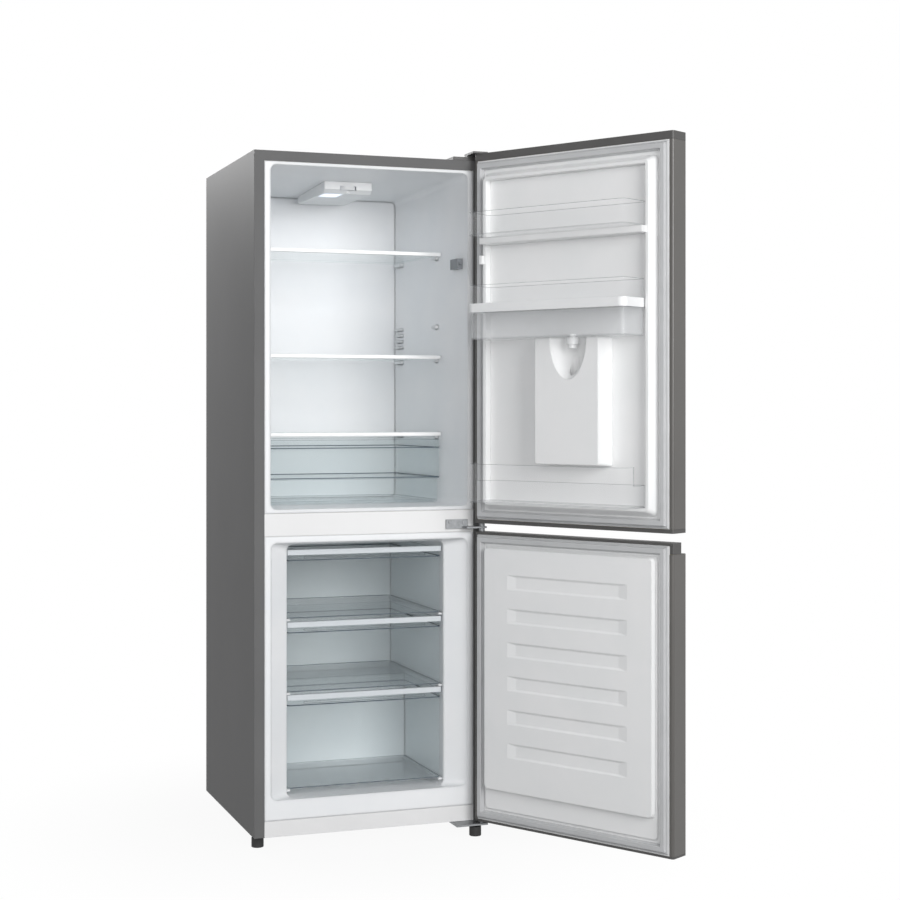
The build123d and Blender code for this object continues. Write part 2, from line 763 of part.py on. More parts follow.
# ---- Crisper drawer on the fridge's floor ----
crisper_top = crisper_cover_height - glass_seat - lug_height - 2
crisper_setbacks = (shelf_setback, fridge_depth - 25)
crisper_gap = 4
crisper_step = 3
crisper_chamfer = 5

with BuildPart() as crisper_drawer:
    floor_z = fridge_floor + seat_gap
    low_setbacks = (crisper_setbacks[0] + crisper_step, crisper_setbacks[1])
    low_z = (floor_z, crisper_step_height)
    high_z = (crisper_step_height, crisper_top)
    tapered_plate(low_setbacks, crisper_gap + crisper_step, low_z, 8, 8)
    tapered_plate(crisper_setbacks, crisper_gap, high_z, 8, 8)
    chamfer(crisper_drawer.edges().group_by(Axis.Z)[0], crisper_chamfer)
    inner_low = (low_setbacks[0] + crisper_wall, crisper_setbacks[1] - crisper_wall)
    inner_high = (crisper_setbacks[0] + crisper_wall, inner_low[1])
    inner_gap = crisper_gap + crisper_wall
    floor_top = floor_z + crisper_wall
    low_z = (floor_top + crisper_chamfer, crisper_top)
    high_z = (crisper_step_height + crisper_wall, crisper_top + 1)
    inner_floor = grown(inner_low, -crisper_chamfer)
    floor_gap_inside = inner_gap + crisper_step + crisper_chamfer
    tapered_plate(inner_floor, floor_gap_inside, (floor_top, low_z[0] + 1), 6, 6, Mode.SUBTRACT)
    tapered_plate(inner_low, inner_gap + crisper_step, low_z, 6, 6, Mode.SUBTRACT)
    tapered_plate(inner_high, inner_gap, high_z, 6, 6, Mode.SUBTRACT)
save(crisper_drawer, "crisper_drawer")

# ---- Freezer drawers: clear moulded boxes with a grip bar along the front ----
drawer_half = freezer_side - drawer_side_gap
drawer_corner = 10
grip_bar_wall = 2.5
bar_slot = 8
for name, floor_z, top_z, depth in zip(
    ("freezer_drawer_top", "freezer_drawer_middle", "freezer_drawer_bottom"),
    drawer_floors,
    drawer_tops,
    drawer_depths,
):
    with BuildPart() as drawer:
        near = front + drawer_setback
        side_top = top_z - drawer_lip_height / 2
        half_span = (-drawer_half, drawer_half)
        footprint = panel(Plane.XY.offset(floor_z), half_span, (near, near + depth), drawer_corner)
        extrude(to_extrude=footprint, amount=side_top - floor_z)
        chamfer(drawer.edges().group_by(Axis.Z)[0], drawer_wall)
        hollow = panel(
            Plane.XY.offset(floor_z + drawer_wall),
            grown(half_span, -drawer_wall),
            (near + drawer_wall, near + depth - drawer_wall),
            drawer_corner - drawer_wall,
        )
        extrude(to_extrude=hollow, amount=side_top, mode=Mode.SUBTRACT)
        bar_z = (top_z - drawer_lip_height, top_z)
        block((-drawer_half, drawer_half), (near, near + drawer_lip_depth), bar_z)
        block(
            (-drawer_half + grip_bar_wall, drawer_half - grip_bar_wall),
            (near + grip_bar_wall, near + drawer_lip_depth + 1),
            (bar_z[0] - 1, bar_z[1] - grip_bar_wall),
            Mode.SUBTRACT,
        )
        slot_z = (bar_z[0] - bar_slot, bar_z[0] - bar_slot / 2)
        slot_x = (-drawer_half + 40, drawer_half - 40)
        block(slot_x, (near - 1, near + drawer_wall + 1), slot_z, Mode.SUBTRACT)
    save(drawer, name)

# ---- Doors: a painted skin, foam, a formed liner, two end caps and a seal each ----
cap_wall = 2.5
cap_plate = 3
boss_radius = 9
foam_side = sheet + seam_gap
door_u = (door_hinge_edge, door_handle_edge)
door_v = (door_inside, door_outside)
liner_back = door_inside + liner_wall
liner_u = (door_u[0] + door_return + seam_gap, door_u[1] - door_return - seam_gap)
form_u = (22, door_handle_edge - 36)  # where the formed liner rises from its flat edge
gasket_u = (0, door_handle_edge - 11)
basin_v = door_inside - basin_rise
basin_u = (form_u[0] + ridge_slope + ridge_top, form_u[1] - ridge_slope - ridge_top)
fridge_form_z = (fridge_door_bottom + 34, fridge_door_top - 48)
basin_z = (fridge_form_z[0] + ridge_slope + ridge_top, fridge_form_z[1] - ridge_slope - ridge_top)
bin_gap = 4
bin_u = (basin_u[0] + bin_gap, basin_u[1] - bin_gap)
bin_v = (-bin_reach, basin_v - seat_gap)
upper_ledge = 15
upper_ledge_reach = 44
bulge_top = tank_z[0] - seat_gap
scoop_v = -bulge_reach - 8
well_floor = recess_z[1] + 14
nozzle_v = valve_v + 9
nozzle_radius = 6
well_radius = nozzle_radius + 5
recess_slope_v = (-24, 0)  # where the recess's ceiling rises towards the outside


def slab(u, v, z, radius=0, mode=Mode.ADD):
    """An upright-edged block in a door's own frame."""
    extrude(to_extrude=panel(door_plane.offset(z[0]), u, v, radius), amount=z[1] - z[0], mode=mode)


def door_side(u):
    """The plane across a door's thickness at u, its first axis pointing outwards."""
    origin = door_plane.from_local_coords((u, 0, 0))
    return Plane(origin=origin, x_dir=door_plane.y_dir, z_dir=door_plane.x_dir)


def recess_cut(grow, outside, mode):
    """The space of the dispenser recess, its walls moved out by grow."""
    low, back_top, front_top = recess_z
    back = recess_back - grow
    with BuildSketch(door_side(recess_u[0] - grow)) as outline:
        with BuildLine():
            Polyline(
                (outside, low - grow),
                (back, low - grow),
                (back, back_top + grow),
                (recess_slope_v[0] - grow / 2, back_top + grow),
                (recess_slope_v[1] - grow / 2, front_top + grow),
                (outside, front_top + grow),
                close=True,
            )
        make_face()
    width = recess_u[1] - recess_u[0] + 2 * grow
    extrude(to_extrude=outline.sketch, amount=width, mode=mode)


def fridge_form(inset):
    """The raised form of the fridge door's liner, its surfaces moved in by inset."""
    with BuildPart() as form:
        foot = panel(door_upright(liner_back), grown(form_u, -inset), grown(fridge_form_z, -inset), 12)
        crown_u = grown(form_u, -ridge_slope - inset)
        crown_z = grown(fridge_form_z, -ridge_slope - inset)
        taper(foot, panel(door_upright(door_inside - ridge_height + inset), crown_u, crown_z, 12))
        basin = panel(door_upright(basin_v + inset), grown(basin_u, inset), grown(basin_z, inset), 3)
        extrude(to_extrude=basin, amount=ridge_height, mode=Mode.SUBTRACT)
        bulge_low = (bulge_u[0] + inset, bulge_u[1] - inset)
        bulge_height = (bulge_bottom + inset, bulge_top - inset)
        root = panel(door_upright(liner_back), bulge_low, bulge_height, 6)
        face = panel(
            door_upright(-bulge_reach + inset),
            grown(bulge_low, -bulge_draft),
            (bulge_height[0] + bulge_draft, bulge_height[1]),
            6,
        )
        taper(root, face)
        ledge_z = (upper_bin_z[0] - seat_gap - upper_ledge + inset, upper_bin_z[0] - seat_gap - inset)
        ledge = panel(door_upright(liner_back), grown(basin_u, bin_gap - inset), ledge_z)
        extrude(to_extrude=ledge, amount=upper_ledge_reach - inset)
        scoop_plane = Plane(
            origin=door_plane.from_local_coords((valve_u, scoop_v, bulge_top)),
            x_dir=door_plane.x_dir,
            z_dir=door_plane.y_dir,
        )
        with BuildSketch(scoop_plane) as bowl:
            Ellipse(scoop_radius + inset, scoop_height + inset)
            with Locations((-scoop_radius, 0)):
                Rectangle(2 * scoop_radius, 3 * scoop_height, mode=Mode.SUBTRACT)
        axis = Axis(scoop_plane.origin, (0, 0, 1))
        revolve(bowl.sketch, axis=axis, mode=Mode.SUBTRACT)
        well = Location(door_plane.from_local_coords((valve_u, nozzle_v, 0)))
        well_height = bulge_top - well_floor + inset
        with Locations(well * Location((0, 0, well_floor - inset + well_height / 2))):
            Cylinder(well_radius + inset, well_height, mode=Mode.SUBTRACT)
    return form.part


def nozzle_hole():
    """The duct from the pocket under the tank's valve down to the recess."""
    z = (recess_z[1] - 1, well_floor + 1)
    rod(valve_u, nozzle_v, z, nozzle_radius + seat_gap, Mode.SUBTRACT)


# ---- Fridge door ----
fridge_skin_z = (fridge_door_bottom + fridge_bottom_cap, fridge_door_top - fridge_top_cap)
recess_outside = recess_wall + seat_gap


def door_skin(z):
    """The painted sheet: outer face, both sides and the narrow returns behind."""
    slab(door_u, door_v, z, door_corner)
    inner_u = grown(door_u, -sheet)
    slab(inner_u, (door_v[0] + sheet, door_v[1] - sheet), z, door_corner - sheet, Mode.SUBTRACT)
    slab(grown(door_u, -door_return), (door_v[0] - 1, door_v[0] + door_corner), z, 0, Mode.SUBTRACT)


def door_cap(plate, rim, boss, bore):
    """A moulded end cap: a plate, the rim round it and the boss that the hinge pin enters."""
    slab(door_u, door_v, rim, door_corner)
    hollow = (rim[0], plate[0]) if plate[1] == rim[1] else (plate[1], rim[1])
    slab(grown(door_u, -cap_wall), grown(door_v, -cap_wall), hollow, door_corner - cap_wall, Mode.SUBTRACT)
    rod(0, 0, boss, boss_radius)
    rod(0, 0, bore, pin_radius + running_clearance, Mode.SUBTRACT)


def foam_tongue(z):
    """The foam's end that fills a cap's hollow."""
    slab(grown(door_u, -cap_wall - seat_gap), grown(door_v, -cap_wall - seat_gap), z, 2)


with BuildPart(door_plane) as fridge_door_skin:
    door_skin(fridge_skin_z)
    recess_cut(recess_outside, door_outside + 1, Mode.SUBTRACT)
save(fridge_door_skin, "fridge_door_skin")

top_boss_z = (fridge_skin_z[1], fridge_door_top - cap_plate)
bottom_boss_z = (fridge_door_bottom + cap_plate, fridge_door_bottom + bore_depth + cap_plate)

with BuildPart(door_plane) as fridge_door_top_cap:
    cap_z = (fridge_skin_z[1] + seam_gap, fridge_door_top)
    bore_z = (fridge_door_top - bore_depth, fridge_door_top + 1)
    door_cap((fridge_door_top - cap_plate, fridge_door_top), cap_z, (cap_z[0], fridge_door_top - 1), bore_z)
save(fridge_door_top_cap, "fridge_door_top_cap")

with BuildPart(door_plane) as fridge_door_bottom_cap:
    cap_z = (fridge_door_bottom, fridge_skin_z[0] - seam_gap)
    bore_z = (fridge_door_bottom - 1, fridge_door_bottom + bore_depth)
    door_cap((fridge_door_bottom, fridge_door_bottom + cap_plate), cap_z, bottom_boss_z, bore_z)
save(fridge_door_bottom_cap, "fridge_door_bottom_cap")

liner_face = fridge_form(0)
liner_core = fridge_form(liner_wall)
foam_form = fridge_form(liner_gap)
pad_u = (30, 38)
pad_z = (switch_z[0] + 2, switch_z[1] - 2)
pad_v = (-hinge_reach - plunger_tip + 0.45, door_inside - ridge_height + 2)

with BuildPart() as fridge_door_liner:
    slab(liner_u, (door_inside, liner_back), grown(fridge_skin_z, -seam_gap))
    add(liner_face)
    add(liner_core, mode=Mode.SUBTRACT)
    with Locations(door_plane):
        block(pad_u, pad_v, pad_z)
        nozzle_hole()
save(fridge_door_liner, "fridge_door_liner")

with BuildPart() as fridge_door_foam:
    foam_u = grown(door_u, -foam_side)
    foam_v = (liner_back, door_outside - foam_side)
    slab(foam_u, foam_v, fridge_skin_z, door_corner - sheet)
    top_tongue = (fridge_skin_z[1], fridge_door_top - cap_plate - seat_gap)
    bottom_tongue = (fridge_door_bottom + cap_plate + seat_gap, fridge_skin_z[0])
    foam_tongue(top_tongue)
    foam_tongue(bottom_tongue)
    add(foam_form)
    recess_cut(recess_outside, door_outside, Mode.SUBTRACT)
    with Locations(door_plane):
        rod(0, 0, (top_boss_z[0], fridge_door_top), boss_radius + seat_gap, Mode.SUBTRACT)
        boss_room = (fridge_door_bottom, bottom_boss_z[1] + seat_gap)
        rod(0, 0, boss_room, boss_radius + seat_gap, Mode.SUBTRACT)
        nozzle_hole()
save(fridge_door_foam, "fridge_door_foam")


def door_gasket(z):
    """The magnetic seal: a ring of flexible profile round the liner's edge."""
    v = (gasket_face, door_inside - seat_gap)
    slab(gasket_u, v, z, 4)
    slab(grown(gasket_u, -gasket_width), (v[0] - 1, v[1] + 1), grown(z, -gasket_width), 0, Mode.SUBTRACT)


with BuildPart(door_plane) as fridge_door_gasket:
    door_gasket((fridge_door_bottom + 11, fridge_door_top - 21))
save(fridge_door_gasket, "fridge_door_gasket")

# ---- Freezer door: its top edge is set back behind a hand trough ----
grip_v = (door_outside - grip_setback, door_outside - 4)
grip_u = grown(door_u, -31)
grip_shoulder_z = freezer_door_top - freezer_top_cap
grip_floor_z = grip_shoulder_z - grip_depth
strip_z = (freezer_door_top - 6, freezer_door_top)
freezer_skin_z = (freezer_door_bottom + freezer_bottom_cap, grip_shoulder_z)
freezer_form_z = (freezer_door_bottom + 33, freezer_door_top - 30)
panel_inset = 6
panel_z = (freezer_form_z[0] + 48, freezer_form_z[1] - 2)
panel_v = -30
step_v = -18
# Shallow bands sunk in the panel, one above another.
band_u = (form_u[0] + 88, form_u[1] - 84)
band_pitch = 0.137 * (panel_z[1] - panel_z[0])
band_height = 0.39 * band_pitch
band_top = panel_z[1] - 64
band_count = 6
band_depth = 3
band_slope = 2
band_end_slope = 12


def freezer_form(inset):
    """The raised form of the freezer door's liner, its surfaces moved in by inset."""
    with BuildPart() as form:
        foot = panel(door_upright(liner_back), grown(form_u, -inset), grown(freezer_form_z, -inset), 10)
        step_u = grown(form_u, -3 - inset)
        step_z = grown(freezer_form_z, -3 - inset)
        taper(foot, panel(door_upright(step_v + inset), step_u, step_z, 10))
        raised_u = grown(form_u, -panel_inset - inset)
        raised_z = grown(panel_z, -inset)
        foot = panel(door_upright(liner_back), raised_u, raised_z, 10)
        raised = panel(door_upright(panel_v + inset), grown(raised_u, -3), grown(raised_z, -3), 10)
        taper(foot, raised)
        for row in range(band_count):
            top = band_top - row * band_pitch
            band_z = grown((top - band_height, top), inset)
            mouth_u = grown(band_u, band_end_slope + inset)
            mouth = panel(door_upright(panel_v + inset), mouth_u, grown(band_z, band_slope))
            floor_u = grown(band_u, inset - band_end_slope)
            bottom_plane = door_upright(panel_v + band_depth + inset)
            bottom = panel(bottom_plane, floor_u, grown(band_z, -band_slope))
            taper(mouth, bottom, Mode.SUBTRACT)
    return form.part


with BuildPart(door_plane) as freezer_door_skin:
    door_skin(freezer_skin_z)
save(freezer_door_skin, "freezer_door_skin")

with BuildPart(door_plane) as freezer_door_bottom_cap:
    cap_z = (freezer_door_bottom, freezer_skin_z[0] - seam_gap)
    plate_z = (freezer_door_bottom, freezer_door_bottom + cap_plate)
    boss_z = (plate_z[1], plate_z[1] + bore_depth)
    door_cap(plate_z, cap_z, boss_z, (freezer_door_bottom - 1, freezer_door_bottom + bore_depth))
save(freezer_door_bottom_cap, "freezer_door_bottom_cap")

cap_back = liner_back + seam_gap
cap_v = (cap_back, grip_v[0])
trough_u = grown(grip_u, cap_plate)
trough_v = (grip_v[0] - cap_plate, door_outside - foam_side)
trough_z = (grip_floor_z - cap_plate, grip_shoulder_z)

with BuildPart(door_plane) as freezer_door_top_cap:
    slab(door_u, cap_v, (grip_shoulder_z + seam_gap, freezer_door_top), 4)
    hollow_z = (grip_shoulder_z, freezer_door_top - cap_plate)
    slab(grown(door_u, -cap_wall), grown(cap_v, -cap_wall), hollow_z, 2, Mode.SUBTRACT)
    rod(0, 0, (grip_shoulder_z, freezer_door_top - 1), boss_radius)
    slab(grown(door_u, -door_corner), (door_inside, cap_v[0] + 1), strip_z)
    slab(trough_u, trough_v, trough_z)
    shoulder_z = (grip_shoulder_z - cap_plate, grip_shoulder_z + seam_gap)
    slab(grown(door_u, -foam_side), trough_v, shoulder_z, door_corner - sheet)
    slab(grip_u, grip_v, (grip_floor_z, grip_shoulder_z + 1), 0, Mode.SUBTRACT)
    bore_z = (freezer_door_top - bore_depth, freezer_door_top + 1)
    rod(0, 0, bore_z, pin_radius + running_clearance, Mode.SUBTRACT)
save(freezer_door_top_cap, "freezer_door_top_cap")

liner_face = freezer_form(0)
liner_core = freezer_form(liner_wall)
foam_form = freezer_form(liner_gap)

with BuildPart() as freezer_door_liner:
    slab(liner_u, (door_inside, liner_back), (freezer_skin_z[0] + seam_gap, strip_z[0] - seam_gap))
    add(liner_face)
    add(liner_core, mode=Mode.SUBTRACT)
save(freezer_door_liner, "freezer_door_liner")

with BuildPart() as freezer_door_foam:
    foam_top = grip_shoulder_z - cap_plate - seat_gap
    foam_v = (liner_back, door_outside - foam_side)
    slab(grown(door_u, -foam_side), foam_v, (freezer_skin_z[0], foam_top), door_corner - sheet)
    foam_tongue((freezer_door_bottom + cap_plate + seat_gap, freezer_skin_z[0]))
    tongue_z = (foam_top, freezer_door_top - cap_plate - seat_gap)
    tongue_v = (cap_v[0] + cap_wall + seat_gap, trough_v[0] - seat_gap)
    slab(grown(door_u, -cap_wall - seat_gap), tongue_v, tongue_z, 2)
    add(foam_form)
    trough_room = grown(trough_u, seat_gap)
    room_v = (trough_v[0] - seat_gap, door_outside)
    slab(trough_room, room_v, (trough_z[0] - seat_gap, trough_z[1]), 0, Mode.SUBTRACT)
    with Locations(door_plane):
        rod(0, 0, (grip_shoulder_z, freezer_door_top), boss_radius + seat_gap, Mode.SUBTRACT)
        boss_room = (freezer_door_bottom, freezer_door_bottom + cap_plate + bore_depth + seat_gap)
        rod(0, 0, boss_room, boss_radius + seat_gap, Mode.SUBTRACT)
save(freezer_door_foam, "freezer_door_foam")

with BuildPart(door_plane) as freezer_door_gasket:
    door_gasket((freezer_door_bottom + 9, strip_z[0] - 0.5))
save(freezer_door_gasket, "freezer_door_gasket")


# ---- Door bins: clear moulded trays that lift off the liner's ledges ----
def tray(u, v, z, wall, radius):
    """An open box with round upright corners."""
    slab(u, v, z, radius)
    slab(grown(u, -wall), grown(v, -wall), (z[0] + wall, z[1] + 1), radius - wall, Mode.SUBTRACT)


with BuildPart(door_plane) as upper_bin:
    tray(bin_u, bin_v, upper_bin_z, bin_wall, bin_corner)
save(upper_bin, "upper_bin")

lower_bin_z = (basin_z[0] + seat_gap, basin_z[0] + lower_bin_height)
with BuildPart(door_plane) as lower_bin:
    tray(bin_u, bin_v, lower_bin_z, bin_wall, bin_corner)
    # The back half is lower, clear of the dispenser's bulge above it.
    back_room = (-bulge_reach - bin_gap, bin_v[1] + 1)
    back_z = (lower_bin_z[0] + lower_bin_back, lower_bin_z[1] + 1)
    slab(grown(bin_u, 1), back_room, back_z, 0, Mode.SUBTRACT)
save(lower_bin, "lower_bin")

# ---- Water tank, its lid with a filling flap, and the clear rail that stands in the lid ----
lid_wall = 2
lid_z = (tank_z[1] - tank_lid_rim, tank_z[1] + 16)
lid_plate_z = (tank_z[1] + seat_gap, tank_z[1] + seat_gap + lid_wall)
tank_u = grown(bin_u, -tank_lid_rim)
tank_v = grown(bin_v, -tank_lid_rim)
rail_z = (lid_plate_z[1] + seat_gap, tank_z[1] + 58)
flap_u = basin_u[1] - 91
flap_v = -86
flap_pivot_v = flap_v + flap_depth + 3
flap_pivot_z = lid_plate_z[1] + 3
flap_pin_radius = 1.5
ear_sheet = 3

with BuildPart(door_plane) as water_tank:
    tray(tank_u, tank_v, tank_z, tank_wall, bin_corner - tank_lid_rim)
    rod(valve_u, valve_v, (tank_z[0] - 1, tank_z[0] + tank_wall + 1), 9 + running_clearance, Mode.SUBTRACT)
save(water_tank, "water_tank")

with BuildPart(door_plane) as tank_valve:
    rod(valve_u, valve_v, (tank_z[0] - 24, tank_z[0] + tank_wall + 5), 9)
    rod(valve_u, valve_v, (tank_z[0] - seat_gap - 15, tank_z[0] - seat_gap), valve_radius)
save(tank_valve, "tank_valve")

with BuildPart(door_plane) as tank_lid:
    slab(bin_u, bin_v, lid_z, bin_corner)
    rim_u = grown(bin_u, -lid_wall)
    rim_v = grown(bin_v, -lid_wall)
    slab(rim_u, rim_v, grown(lid_z, 1), bin_corner - lid_wall, Mode.SUBTRACT)
    slab(grown(bin_u, -1), grown(bin_v, -1), lid_plate_z, bin_corner - 1)
    filling = grown((flap_u, flap_u + flap_width), -5)
    slab(filling, (flap_v + 5, flap_v + flap_depth - 5), grown(lid_plate_z, 1), 4, Mode.SUBTRACT)
    for ear_u in (flap_u - ear_sheet - seat_gap, flap_u + flap_width + seat_gap):
        ear = (ear_u, ear_u + ear_sheet)
        block(ear, grown((flap_pivot_v, flap_pivot_v), 3), (lid_plate_z[0], flap_pivot_z + 3))
    pivot = Location((flap_u + flap_width / 2, flap_pivot_v, flap_pivot_z), (0, 90, 0))
    with Locations(pivot):
        Cylinder(flap_pin_radius + running_clearance, flap_width + 20, mode=Mode.SUBTRACT)
save(tank_lid, "tank_lid")

with BuildPart(door_plane) as tank_flap:
    flap_z = (flap_pivot_z - flap_sheet / 2, flap_pivot_z + flap_sheet / 2)
    block((flap_u, flap_u + flap_width), (flap_v, flap_pivot_v), flap_z)
    with Locations(pivot):
        Cylinder(2.4, flap_width)
        Cylinder(flap_pin_radius, flap_width + 2 * (ear_sheet + seat_gap) - 1)
save(tank_flap, "tank_flap")

with BuildPart(door_plane) as tank_rail:
    rail_gap = lid_wall + seat_gap
    rail_u = grown(bin_u, -rail_gap)
    rail_v = grown(bin_v, -rail_gap)
    slab(rail_u, rail_v, rail_z, bin_corner - rail_gap)
    rail_hole = bin_corner - rail_gap - bin_wall
    slab(grown(rail_u, -bin_wall), grown(rail_v, -bin_wall), grown(rail_z, 1), rail_hole, Mode.SUBTRACT)
save(tank_rail, "tank_rail")

# ---- Water dispenser in the outside of the fridge door ----
bezel_width = 6
bezel_height = 1.5
ear_u = (valve_u - lever_width / 2, valve_u + lever_width / 2)
lever_pin_radius = 2
lever_sheet = 3
lever_lean = 10

with BuildPart(door_plane) as dispenser_recess:
    recess_cut(recess_wall, door_outside, Mode.ADD)
    face_u = grown(recess_u, recess_wall + bezel_width)
    face_z = grown((recess_z[0], recess_z[2]), recess_wall + bezel_width)
    block(face_u, (door_outside, door_outside + bezel_height), face_z)
    recess_cut(0, door_outside + bezel_height + 1, Mode.SUBTRACT)
    lever_pivot = Location((valve_u, lever_pivot_v, lever_pivot_z), (0, 90, 0))
    for low in (ear_u[0] - seat_gap - ear_sheet, ear_u[1] + seat_gap):
        ear_z = (lever_pivot_z - 4, recess_z[1] + 1)
        block((low, low + ear_sheet), grown((lever_pivot_v, lever_pivot_v), 4), ear_z)
    with Locations(lever_pivot):
        ear_bore = lever_width + 2 * (ear_sheet + seat_gap) - 1
        Cylinder(lever_pin_radius + running_clearance, ear_bore, mode=Mode.SUBTRACT)
    nozzle_hole()
save(dispenser_recess, "dispenser_recess")

with BuildPart(door_plane) as dispenser_lever:
    low_z = lever_pivot_z - lever_length
    low_v = lever_pivot_v + lever_lean
    with BuildSketch(door_side(ear_u[0])):
        with BuildLine():
            Polyline(
                (lever_pivot_v - lever_sheet / 2, lever_pivot_z),
                (low_v - lever_sheet / 2, low_z),
                (low_v + lever_sheet / 2, low_z),
                (lever_pivot_v + lever_sheet / 2, lever_pivot_z),
                close=True,
            )
        make_face()
    extrude(amount=lever_width)
    with Locations(lever_pivot):
        Cylinder(lever_sheet, lever_width)
        Cylinder(lever_pin_radius, lever_width + 2 * (ear_sheet + seat_gap) - 2)
save(dispenser_lever, "dispenser_lever")

with BuildPart(door_plane) as dispenser_nozzle:
    funnel_z = (well_floor + seat_gap, well_floor + seat_gap + 3)
    rod(valve_u, nozzle_v, (recess_z[1] - 12, funnel_z[1]), nozzle_radius)
    rod(valve_u, nozzle_v, funnel_z, nozzle_radius + 3)
    rod(valve_u, nozzle_v, (recess_z[1] - 13, funnel_z[1] + 1), nozzle_radius - 1.5, Mode.SUBTRACT)
save(dispenser_nozzle, "dispenser_nozzle")

drip_gap = 1
drip_slots = 9
with BuildPart(door_plane) as drip_tray:
    drip_u = grown(recess_u, -drip_gap)
    drip_v = (recess_back + 2, door_outside - 1)
    drip_z = (recess_z[0] + seat_gap, recess_z[0] + seat_gap + drip_tray_height)
    tray(drip_u, drip_v, drip_z, 1.5, 5)
    slab(grown(drip_u, -1), grown(drip_v, -1), (drip_z[1] - 3, drip_z[1] - 1), 4)
    slot_pitch = (drip_v[1] - drip_v[0] - 16) / (drip_slots - 1)
    for slot in range(drip_slots):
        slot_v = drip_v[0] + 8 + slot * slot_pitch
        block(grown(drip_u, -12), grown((slot_v, slot_v), 2), (drip_z[1] - 4, drip_z[1]), Mode.SUBTRACT)
save(drip_tray, "drip_tray")

# ---- Compressor on its rubber grommets, and the cord's inlet ----
compressor_radius = 64
compressor_z = (26, 168)
compressor_y = bay_front + 74
foot_plate_z = (17, 20)
foot_plate_x = 100
foot_plate_y = 52
grommet_radius = 9
foot_inset = 12
grommet_places = [
    (x, compressor_y + y)
    for x in (foot_inset - foot_plate_x, foot_plate_x - foot_inset)
    for y in (foot_inset - foot_plate_y, foot_plate_y - foot_inset)
]

with BuildPart() as compressor:
    rod(0, compressor_y, compressor_z, compressor_radius)
    fillet(compressor.edges().filter_by(GeomType.CIRCLE), 34)
    seam_z = sum(compressor_z) / 2
    rod(0, compressor_y, (seam_z - 3, seam_z + 3), compressor_radius + 4)
    block(
        (-foot_plate_x, foot_plate_x),
        (compressor_y - foot_plate_y, compressor_y + foot_plate_y),
        foot_plate_z,
    )
    rod(0, compressor_y, (foot_plate_z[0], compressor_z[0] + 20), compressor_radius - 22)
    terminal_box_x = (compressor_radius - 8, compressor_radius + 22)
    block(terminal_box_x, (compressor_y - 26, compressor_y + 26), (60, 112))
    for place in grommet_places:
        rod(*place, (foot_plate_z[0] - 1, foot_plate_z[1] + 1), 5 + seat_gap, Mode.SUBTRACT)
save(compressor, "compressor")

gland_x = side - 95
gland_y = rear - 15
gland_height = base_sheet + 12
gland_radius = 9
gland_length = 26
lead_radius = 3.6
with BuildPart() as rubber_grommets:
    for place in grommet_places:
        rod(*place, (base_sheet, foot_plate_z[0]), grommet_radius)
        rod(*place, (foot_plate_z[0], foot_plate_z[1] + 1), 5)
        rod(*place, (foot_plate_z[1], foot_plate_z[1] + 3), grommet_radius - 1)
    # The gland that the mains lead would enter by.
    gland = Location((gland_x, gland_y, gland_height), (90, 0, 0))
    with Locations(gland):
        Cylinder(gland_radius, gland_length)
    collar_y = (gland_y - 5, gland_y + 3)
    block(grown((gland_x, gland_x), 12), collar_y, (base_sheet, gland_height + 10))
    with Locations(gland):
        Cylinder(lead_radius, gland_length + 4, mode=Mode.SUBTRACT)
save(rubber_grommets, "rubber_grommets")

# ---- Condenser: a steel tube in long runs between upright wires, on steel brackets ----
condenser_tube = 2.5
condenser_y = rear + 14
condenser_x = side - 60
condenser_z = (bay_height + 70, cabinet_height - 70)
condenser_runs = 13
wire_radius = 0.9
wire_count = 22
wire_gap = 0.05

run_pitch = (condenser_z[1] - condenser_z[0]) / (condenser_runs - 1)
wire_span = condenser_x - run_pitch / 2
wire_pitch = 2 * wire_span / (wire_count - 1)
bracket_half = wire_pitch / 2 - wire_radius - 1  # fits between two wires
bracket_x = 7 * wire_pitch
bracket_height = 16
with BuildPart() as condenser:
    tube_line = []
    for run in range(condenser_runs):
        z = condenser_z[1] - run * run_pitch
        start = -condenser_x if run % 2 else condenser_x
        tube_line += [(start, condenser_y, z), (-start, condenser_y, z)]
    with BuildLine() as route:
        FilletPolyline(*tube_line, radius=run_pitch / 2 - 1)
    with BuildSketch(Plane(origin=tube_line[0], z_dir=(-1, 0, 0))):
        Circle(condenser_tube)
    sweep(path=route.wires()[0])
    for wire in range(wire_count):
        x = -wire_span + wire * wire_pitch
        for y in (-1, 1):
            offset_y = y * (condenser_tube + wire_radius + wire_gap)
            rod(x, condenser_y + offset_y, (condenser_z[0] - 10, condenser_z[1] + 10), wire_radius)
    for x in (-bracket_x, bracket_x):
        for run in (1, condenser_runs // 2, condenser_runs - 2):
            z = condenser_z[1] - run * run_pitch
            bracket_y = (rear, condenser_y - condenser_tube)
            block(grown((x, x), bracket_half), bracket_y, grown((z, z), bracket_height / 2))
save(condenser, "condenser")

# ---- Copper pipes between the compressor, the condenser and the cold plates ----
dome_top = compressor_z[1] + seat_gap
outside_x = condenser_x + 13
discharge = [
    (20, compressor_y, dome_top),
    (20, compressor_y, dome_top + 24),
    (outside_x, compressor_y, dome_top + 24),
    (outside_x, condenser_y, dome_top + 24),
    (outside_x, condenser_y, condenser_z[1]),
    (condenser_x + seat_gap, condenser_y, condenser_z[1]),
]
drier_x = (-150, -72)
drier_z = 150
drier_radius = 9
liquid = [
    (-condenser_x - seat_gap, condenser_y, condenser_z[0]),
    (-outside_x, condenser_y, condenser_z[0]),
    (-outside_x, condenser_y, drier_z),
    (-outside_x, riser_pipe_y, drier_z),
    (drier_x[0] - seat_gap, riser_pipe_y, drier_z),
]
capillary = [
    (drier_x[1] + seat_gap, riser_pipe_y, drier_z),
    (riser_pipe_x[0], riser_pipe_y, drier_z),
    (riser_pipe_x[0], riser_pipe_y, riser_pipe_top),
]
